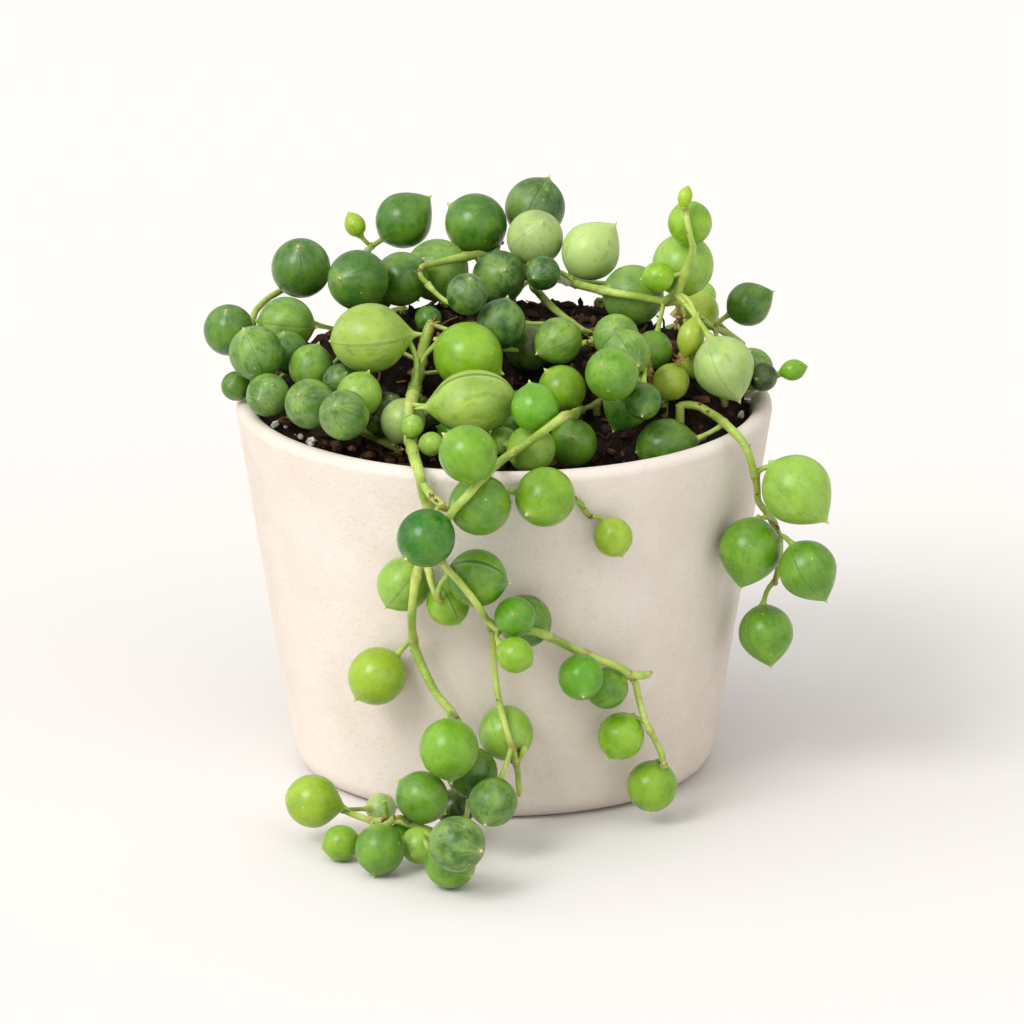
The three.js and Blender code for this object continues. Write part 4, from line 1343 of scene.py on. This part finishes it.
def leafEnds(n, leaf, color):  # paler round the stalk, and a small straw-coloured beak
    z = leaf["xyz"][2]
    out = n.vector("LENGTH", leaf["flat"], output="Value")
    star = n.ease(n.noise(5, 2, 0.6, leaf["around"]), 0.5, 0.62)
    ends = (
        ("stalk", 0.65, n.ease(out, 0.3, 0.1), n.ease(z, -0.7, -0.9)),
        ("halo", 0.2, n.ease(out, 0.3, 0.05), n.ease(z, 0.8, 0.95)),
        ("star", 0.28, star, n.ease(z, 0.55, 0.98), leaf["streaks"]),
        ("beak", 0.9, n.ease(out, 0.075, 0.04), n.ease(z, 0.9, 1.02)),
        ("tip", 0.7, n.ease(out, 0.045, 0.02), n.ease(z, 1.05, 1.15)),
    )
    for name, strength, *shares in ends:
        color = n.cover(color, leafTints[name], *shares, strength)
    return color


def leafSkin():
    n = Nodes("leafSkin")
    local, tint = n.attribute("leafPlace", "Vector"), n.attribute("tint")
    window, streaks, bloom = n.split("Color", n.attribute("marks"))
    leaf = dict(local=local, tint=tint, window=window, streaks=streaks, bloom=bloom)
    leaf["xyz"] = n.split("XYZ", local)
    leaf["shift"] = n.add("CombineXYZ", 0, {"X": n.times(n.attribute("marks", "Alpha"), 40)})
    leaf["flat"] = n.vector("MULTIPLY", local, (1, 1, 0))
    leaf["around"] = n.vector("NORMALIZE", leaf["flat"])
    leaf["pale"] = pale = n.mix(0.42, tint, leafTints["bloom"])
    leaf["soft"] = soft = n.ease(n.noise(1.9, 5, 0.62, n.vector("ADD", local, leaf["shift"])), 0.34, 0.64)
    color, slit = leafWindow(n, leaf, leafGreens(n, leaf))
    dots = n.times(n.ease(n.cells(460), 0.1, 0.05), n.ease(n.noise(240, 1), 0.48, 0.56))
    color = n.cover(color, leafTints["dots"], dots, 0.55)
    color = n.cover(color, pale, n.ease(n.noise(1500, 3), 0.35, 0.7), 0.12)
    color = leafEnds(n, leaf, color)
    rough = n.plus(0.25, n.times(bloom, n.plus(0.12, n.times(soft, 0.22))))
    height = n.plus(n.times(n.noise(900, 3), 0.5), n.times(slit, -0.35))
    height = n.plus(height, n.times(n.noise(240, 2), 0.8))
    return n.finish(color, rough, leafGloss, Normal=n.bump(height, 0.00012, 0.5))


# stems and stalks

stemLook = {
    "sides": 10,
    "step": 0.75,
    "thick": 0.88,
    "knot": 1.26,
    "knotReach": 1.0,
    "wobble": 0.06,
    "taper": (0.35, 0.5),  # where along the stem it starts, and over how much of it
    "start": (0.7, 0.88, 0.97),
    "end": (0.96, 0.85, 0.6),
    "root": 0.9,
    "stalkMiddle": 0.42,
    "stalkEnds": (0.4, 0.26, 0.12),  # wider at the leaf and at the stem, and how soon it narrows
    "stub": (0.62, 0.5, 0.44, 0.42, 0.42, 0.44, 0.5, 0.52, 0.4),
    "scarReach": 1.1,
    "woodHeight": 1.2,
}
stemGloss = {
    "IOR": 1.42,
    "Specular IOR Level": 0.5,
    "Subsurface Weight": 0.1,
    "Subsurface Radius": (0.6, 1.0, 0.3),
    "Subsurface Scale": 0.0008,
}
stubs = {  # short broken stalks: foot and end in the front view
    "string_end": [((396, 819), (383, 801))],
    "string_front": [((518, 760), (525, 747))],
    "string_back_middle": [((476, 256), (480, 268))],
    "string_top_right": [((676, 304), (672, 316))],
}


def hump(distance, reach):  # 1 at no distance, and near 0 past twice the reach
    return np.exp(-((distance / reach) ** 2))


def stemTube(laid, knots):  # swells at its knots, and tapers to its end
    points = laid["path"].spaced(max(6, round(laid["path"].length / stemLook["step"])))
    away = np.array([min(np.linalg.norm(p - k) for k in knots) for p in points])
    swell = 1 + (stemLook["knot"] - 1) * hump(away, stemLook["knotReach"])
    wobble = np.array([1 + stemLook["wobble"] * noise.noise(Vector(p) * 0.5) for p in points])
    first, over = stemLook["taper"]
    share = smooth((np.linspace(0, 1, len(points)) - first) / over)
    taper = laid["thick"] * (1 - (1 - laid["end"]) * share)
    taper[-3:] *= stemLook["end"]
    taper[:3] *= stemLook["start"]
    radii = plant["stemRadius"] * stemLook["thick"] * swell * wobble * taper
    return tubeAlong(points, radii, stemLook["sides"])


def rootTube(top):
    deep = plant["rootDepth"] + max(0, top[2] - soilHeight(top[0], top[1]))
    down = np.array([top - np.array([0, 0, deep * i / 6]) for i in range(7)])
    return tubeAlong(down, np.full(7, plant["stemRadius"] * stemLook["root"]), stemLook["sides"])


def stalkTube(laid):
    t = np.linspace(0, 1, 13)
    atLeaf, atStem, reach = stemLook["stalkEnds"]
    radii = stemLook["stalkMiddle"] + atLeaf * hump(t, reach) + atStem * hump(1 - t, reach)
    return tubeAlong(bend(*laid["stalk"], 12), radii * (0.75 + 0.05 * laid["radius"]))


def stubTubes(owner):
    ends = spines(owner)
    pieces = []
    for foot, end in stubs.get(owner["name"], []):
        start = ends[np.argmin(shownNear(ends, foot))]
        tip = sighted(*end, start[1] - 1.2)
        points = bend(start, (start + tip) / 2 + np.array([0.3, -0.4, 0]), tip)
        pieces.append(tubeAlong(points, stemLook["stub"]))
    return pieces


def keepScars(piece, knots):  # how near each point is to a knot, and how woody it is where it leaves the soil
    points = coordinates(piece.data) / mm
    near = np.full(len(points), 1e9)
    for knot in knots:
        near = np.minimum(near, np.linalg.norm(points - knot, axis=1))
    scar = hump(near, stemLook["scarReach"])
    x, y, z = points.T
    above = np.maximum(z - soilHeight(x, y), 0)
    woody = np.where(np.hypot(x, y) < 40, np.exp(-above / stemLook["woodHeight"]), 0)
    keep(piece.data, "marks", np.stack([scar, woody, scar * 0, scar * 0 + 1], 1))


def makeStems(owner):
    knots = [laid["stalk"][2] for laid in owner["pearlsLaid"]]
    pieces = []
    for laid in owner["stemsLaid"]:
        pieces.append(stemTube(laid, knots))
        if laid["root"] is not None:
            pieces.append(rootTube(laid["root"]))
    pieces += [stalkTube(laid) for laid in owner["pearlsLaid"]]
    pieces += stubTubes(owner)
    depth = owner["pearlsLaid"][-1]["stalk"][0][1]
    knots += [sighted(*end, depth) for _, end in stubs.get(owner["name"], [])]  # scars near the stubs
    piece = joined(pieces, owner["name"] + "_stems")
    keepScars(piece, knots)
    return smoothed(piece)


dryBits = {  # dry scales on the stems: (u, v) in the front view, then their length in millimetres
    "string_back_right": [(529, 275, 0.6), (590, 335, 0.9), (577, 326, 0.7), (588, 343, 1.0)],
    "string_back_middle": [(420, 268, 0.8), (416, 272, 0.6), (492, 264, 0.5), (441, 303, 0.4)],
    "string_top_right": [(668, 304, 0.6), (679, 316, 1.1), (684, 318, 0.8), (676, 322, 0.9),
        (684, 303, 0.6), (700, 319, 0.7), (708, 325, 0.6), (686, 232, 0.4), (694, 220, 0.5),
        (721, 331, 0.5)],
    "string_back_left": [(372, 246, 0.4)],
    "string_left": [(304, 344, 0.6)],
    "string_left_front": [(372, 434, 0.5), (396, 447, 0.6)],
    "string_front_left": [(433, 321, 0.9), (423, 333, 0.7), (438, 333, 0.6), (421, 345, 0.5),
        (416, 391, 0.5), (425, 399, 0.6), (408, 413, 0.5), (408, 436, 0.6), (403, 449, 0.5),
        (414, 455, 0.6), (424, 489, 0.7), (431, 494, 0.8), (436, 501, 0.8), (444, 507, 0.7),
        (428, 562, 0.6), (437, 598, 0.7), (412, 650, 0.7), (456, 718, 0.6)],
    "string_front": [(602, 401, 0.5), (491, 631, 0.5), (634, 680, 0.5), (650, 673, 0.5), (519, 752, 1.0),
        (523, 749, 0.8), (512, 762, 0.6), (497, 700, 0.4), (442, 564, 0.6), (519, 794, 0.5)],
    "string_end": [(388, 821, 1.1), (384, 817, 0.9), (393, 819, 0.8), (345, 812, 0.6), (470, 826, 0.8)],
    "string_front_rim": [(575, 497, 0.6), (584, 509, 0.5), (591, 517, 0.5), (492, 484, 0.6)],
    "string_right": [(708, 411, 0.6), (700, 405, 0.5), (748, 447, 0.6), (757, 492, 0.6), (777, 526, 0.6),
        (778, 562, 0.7), (775, 580, 0.7)],
    "string_middle_right": [(649, 366, 0.9), (655, 374, 1.2), (652, 385, 1.3), (660, 380, 1.0),
        (680, 357, 1.1), (676, 361, 0.8), (657, 391, 0.9), (641, 356, 0.7), (664, 400, 0.8)],
    "string_right_edge": [(726, 391, 0.6), (757, 386, 0.5)],
}
dryTints = [(196, 160, 108), (168, 124, 80), (212, 186, 134), (140, 98, 62)]


def scaleForm():  # a narrow dry scale, cupped and drawn out to a point
    startPiece()
    bpy.ops.mesh.primitive_cone_add(vertices=7, radius1=0.42, radius2=0.1, depth=1, location=(0, 0, 0.5))
    bpy.ops.object.transform_apply(location=True, rotation=True, scale=True)
    form = editAll()
    bpy.ops.mesh.bisect(plane_co=(0, 0, 0.45), plane_no=(0, 0, 1))
    bpy.ops.mesh.select_all(action="SELECT")
    resize((1, 0.42, 1))
    pick(lambda vert: 0.3 < vert.co.z < 0.7)
    resize((1.25, 1.2, 1), (0, 0, 0.45))
    move(0, -0.12, 0)
    pick(lambda vert: vert.co.z > 0.9)
    move(0.08, 0.22, 0)
    leaveEdit()
    return form


def makeScales(owner, form, draw):
    spots = [laid["spine"] for laid in owner["stemsLaid"]]
    spots += [bend(*laid["stalk"]) for laid in owner["pearlsLaid"]]
    spots = np.vstack(spots)
    pieces = []
    for u, v, size in dryBits.get(owner["name"], []):
        at = sighted(u, v, spots[np.argmin(shownNear(spots, (u, v)))][1] - 0.5)
        for _ in range(2 if size < 0.8 else 3):
            way = unit(np.array([draw.uniform(-1, 1), draw.uniform(-1.2, 0), draw.uniform(-0.6, 1.1)]))
            turn = Vector(way).to_track_quat("Z", "Y")
            sizes = (size * 1.1, size * 1.1, size * draw.uniform(1.2, 1.8))
            tint = fromScreen(draw.choice(dryTints))
            pieces.append(copyOf(form, turn, sizes, at - way * 0.15, tint))
    return joined(pieces, owner["name"] + "_scales") if pieces else None


def drawnOut(n, scale, *noiseSettings):  # noise stretched or squeezed upwards
    at = n.add("Mapping", "Vector", {"Vector": n.place, "Scale": (1, 1, scale)})
    return n.noise(*noiseSettings, at=at)


def dryScale():
    n = Nodes("dryScale")
    tint = n.attribute("tint")
    veins = n.ease(drawnOut(n, 0.5, 1800, 4, 0.7), 0.35, 0.7)
    color = n.mix(veins, n.mix(1.0, tint, (0.55, 0.47, 0.38, 1), "MULTIPLY"), tint)
    return n.finish(color, 0.75, {"Specular IOR Level": 0.3}, Normal=n.bump(veins, 0.00012, 0.7))


def stemSkin():
    tints = fromScreens(green=(136, 164, 60), lime=(174, 192, 94), olive=(112, 136, 50),
                        fleck=(196, 206, 138), scar=(142, 96, 60), wood=(118, 98, 62))
    n = Nodes("stemSkin")
    scar, woody, _ = n.split("Color", n.attribute("marks"))
    color = n.mix(n.ease(n.noise(160, 3), 0.35, 0.65), tints["green"], tints["lime"])
    color = n.mix(n.ease(n.noise(700, 4, 0.7), 0.5, 0.75, 0, 0.45), color, tints["olive"])
    color = n.cover(color, tints["fleck"], n.ease(drawnOut(n, 3, 1100, 2), 0.6, 0.66), 0.5)
    broken = n.ease(n.noise(520, 4, 0.7), 0.46, 0.56)
    color = n.cover(color, tints["scar"], scar, broken, 0.85)
    color = n.cover(color, tints["wood"], woody, 0.75)
    height = n.plus(n.noise(1700, 4), n.times(n.noise(600, 2), 0.8))
    return n.finish(color, 0.4, stemGloss, Normal=n.bump(height, 0.00016, 0.6))


def makePlant():
    forms = {name: leafForm(name) for name in leafForms}
    leaf, bark, dry = leafSkin(), stemSkin(), dryScale()
    scale = scaleForm()
    draw = random.Random(29)
    for owner in owners:
        name = owner["name"]
        finishPiece(makePearls(owner, forms, draw), leaf, [name])
        finishPiece(makeStems(owner), bark, [name])
        scales = makeScales(owner, scale, draw)
        if scales:
            finishPiece(scales, dry, [name])
        print(name, "made")
    for form in (*forms.values(), scale):
        bpy.data.objects.remove(form)


makePlant()

# floor, light and camera

studio = {
    "floor": (219, 215, 212),
    "floorShade": (217, 212, 209),
    "room": (0.5, 0.94),  # how bright the room is near the floor and overhead
    "key": {"from": (-0.48, -0.58, 0.66), "strength": 1.7, "angle": 27},
    "wide": {"from": (-0.48, -0.58, 0.66), "strength": 0.6, "angle": 100},
    "left": {"from": (-0.94, -0.14, 0.3), "strength": 1.1, "angle": 90},
    "right": {"from": (0.6, -0.76, 0.25), "strength": 0.8, "angle": 70},
}


def makeFloor():
    startPiece()
    bpy.ops.mesh.primitive_plane_add(size=6, location=(0, 0, 0))
    floor = bpy.context.active_object
    floor.name = "floor"
    n = Nodes("floorPaper")
    tone = n.ease(n.noise(3, 2), 0.3, 0.7)
    color = n.cover(fromScreen(studio["floor"]), fromScreen(studio["floorShade"]), tone, 0.3)
    floor.data.materials.append(n.finish(color, 0.8, {"Specular IOR Level": 0.1}))


def softLight(name, lamp):  # a far, wide lamp, so that the floor is lit evenly
    data = bpy.data.lights.new(name, "SUN")
    data.energy = lamp["strength"]
    data.angle = math.radians(lamp["angle"])
    light = bpy.data.objects.new(name, data)
    light.rotation_euler = Vector(lamp["from"]).to_track_quat("Z", "Y").to_euler()
    bpy.context.scene.collection.objects.link(light)


def makeLight():
    world = bpy.data.worlds.new("paleRoom")
    world.use_nodes = True
    tree = world.node_tree
    split = tree.nodes.new("ShaderNodeSeparateXYZ")
    tree.links.new(tree.nodes.new("ShaderNodeTexCoord").outputs["Generated"], split.inputs[0])
    rise = tree.nodes.new("ShaderNodeMapRange")  # brighter overhead than near the floor
    rise.inputs["To Min"].default_value, rise.inputs["To Max"].default_value = studio["room"]
    tree.links.new(split.outputs["Z"], rise.inputs["Value"])
    background = tree.nodes["Background"].inputs
    background["Color"].default_value = (1.0, 0.99, 0.98, 1)
    tree.links.new(rise.outputs["Result"], background["Strength"])
    bpy.context.scene.world = world
    for name in ("key", "wide", "left", "right"):
        softLight(name + "Light", studio[name])
    bpy.context.scene.view_settings.view_transform = "Standard"


def makeCamera():
    data = bpy.data.cameras.new("frontView")
    data.sensor_width = 36
    data.lens = view["scale"] * view["distance"] / view["imageWidth"] * data.sensor_width
    data.clip_end = 20
    camera = bpy.data.objects.new("frontView", data)
    camera.location = Vector(eye * mm)
    camera.rotation_euler = (math.radians(90 - view["elevation"]), 0, 0)
    bpy.context.scene.collection.objects.link(camera)
    bpy.context.scene.camera = camera


makeFloor()
makeLight()
makeCamera()
print("floor, light and camera made")
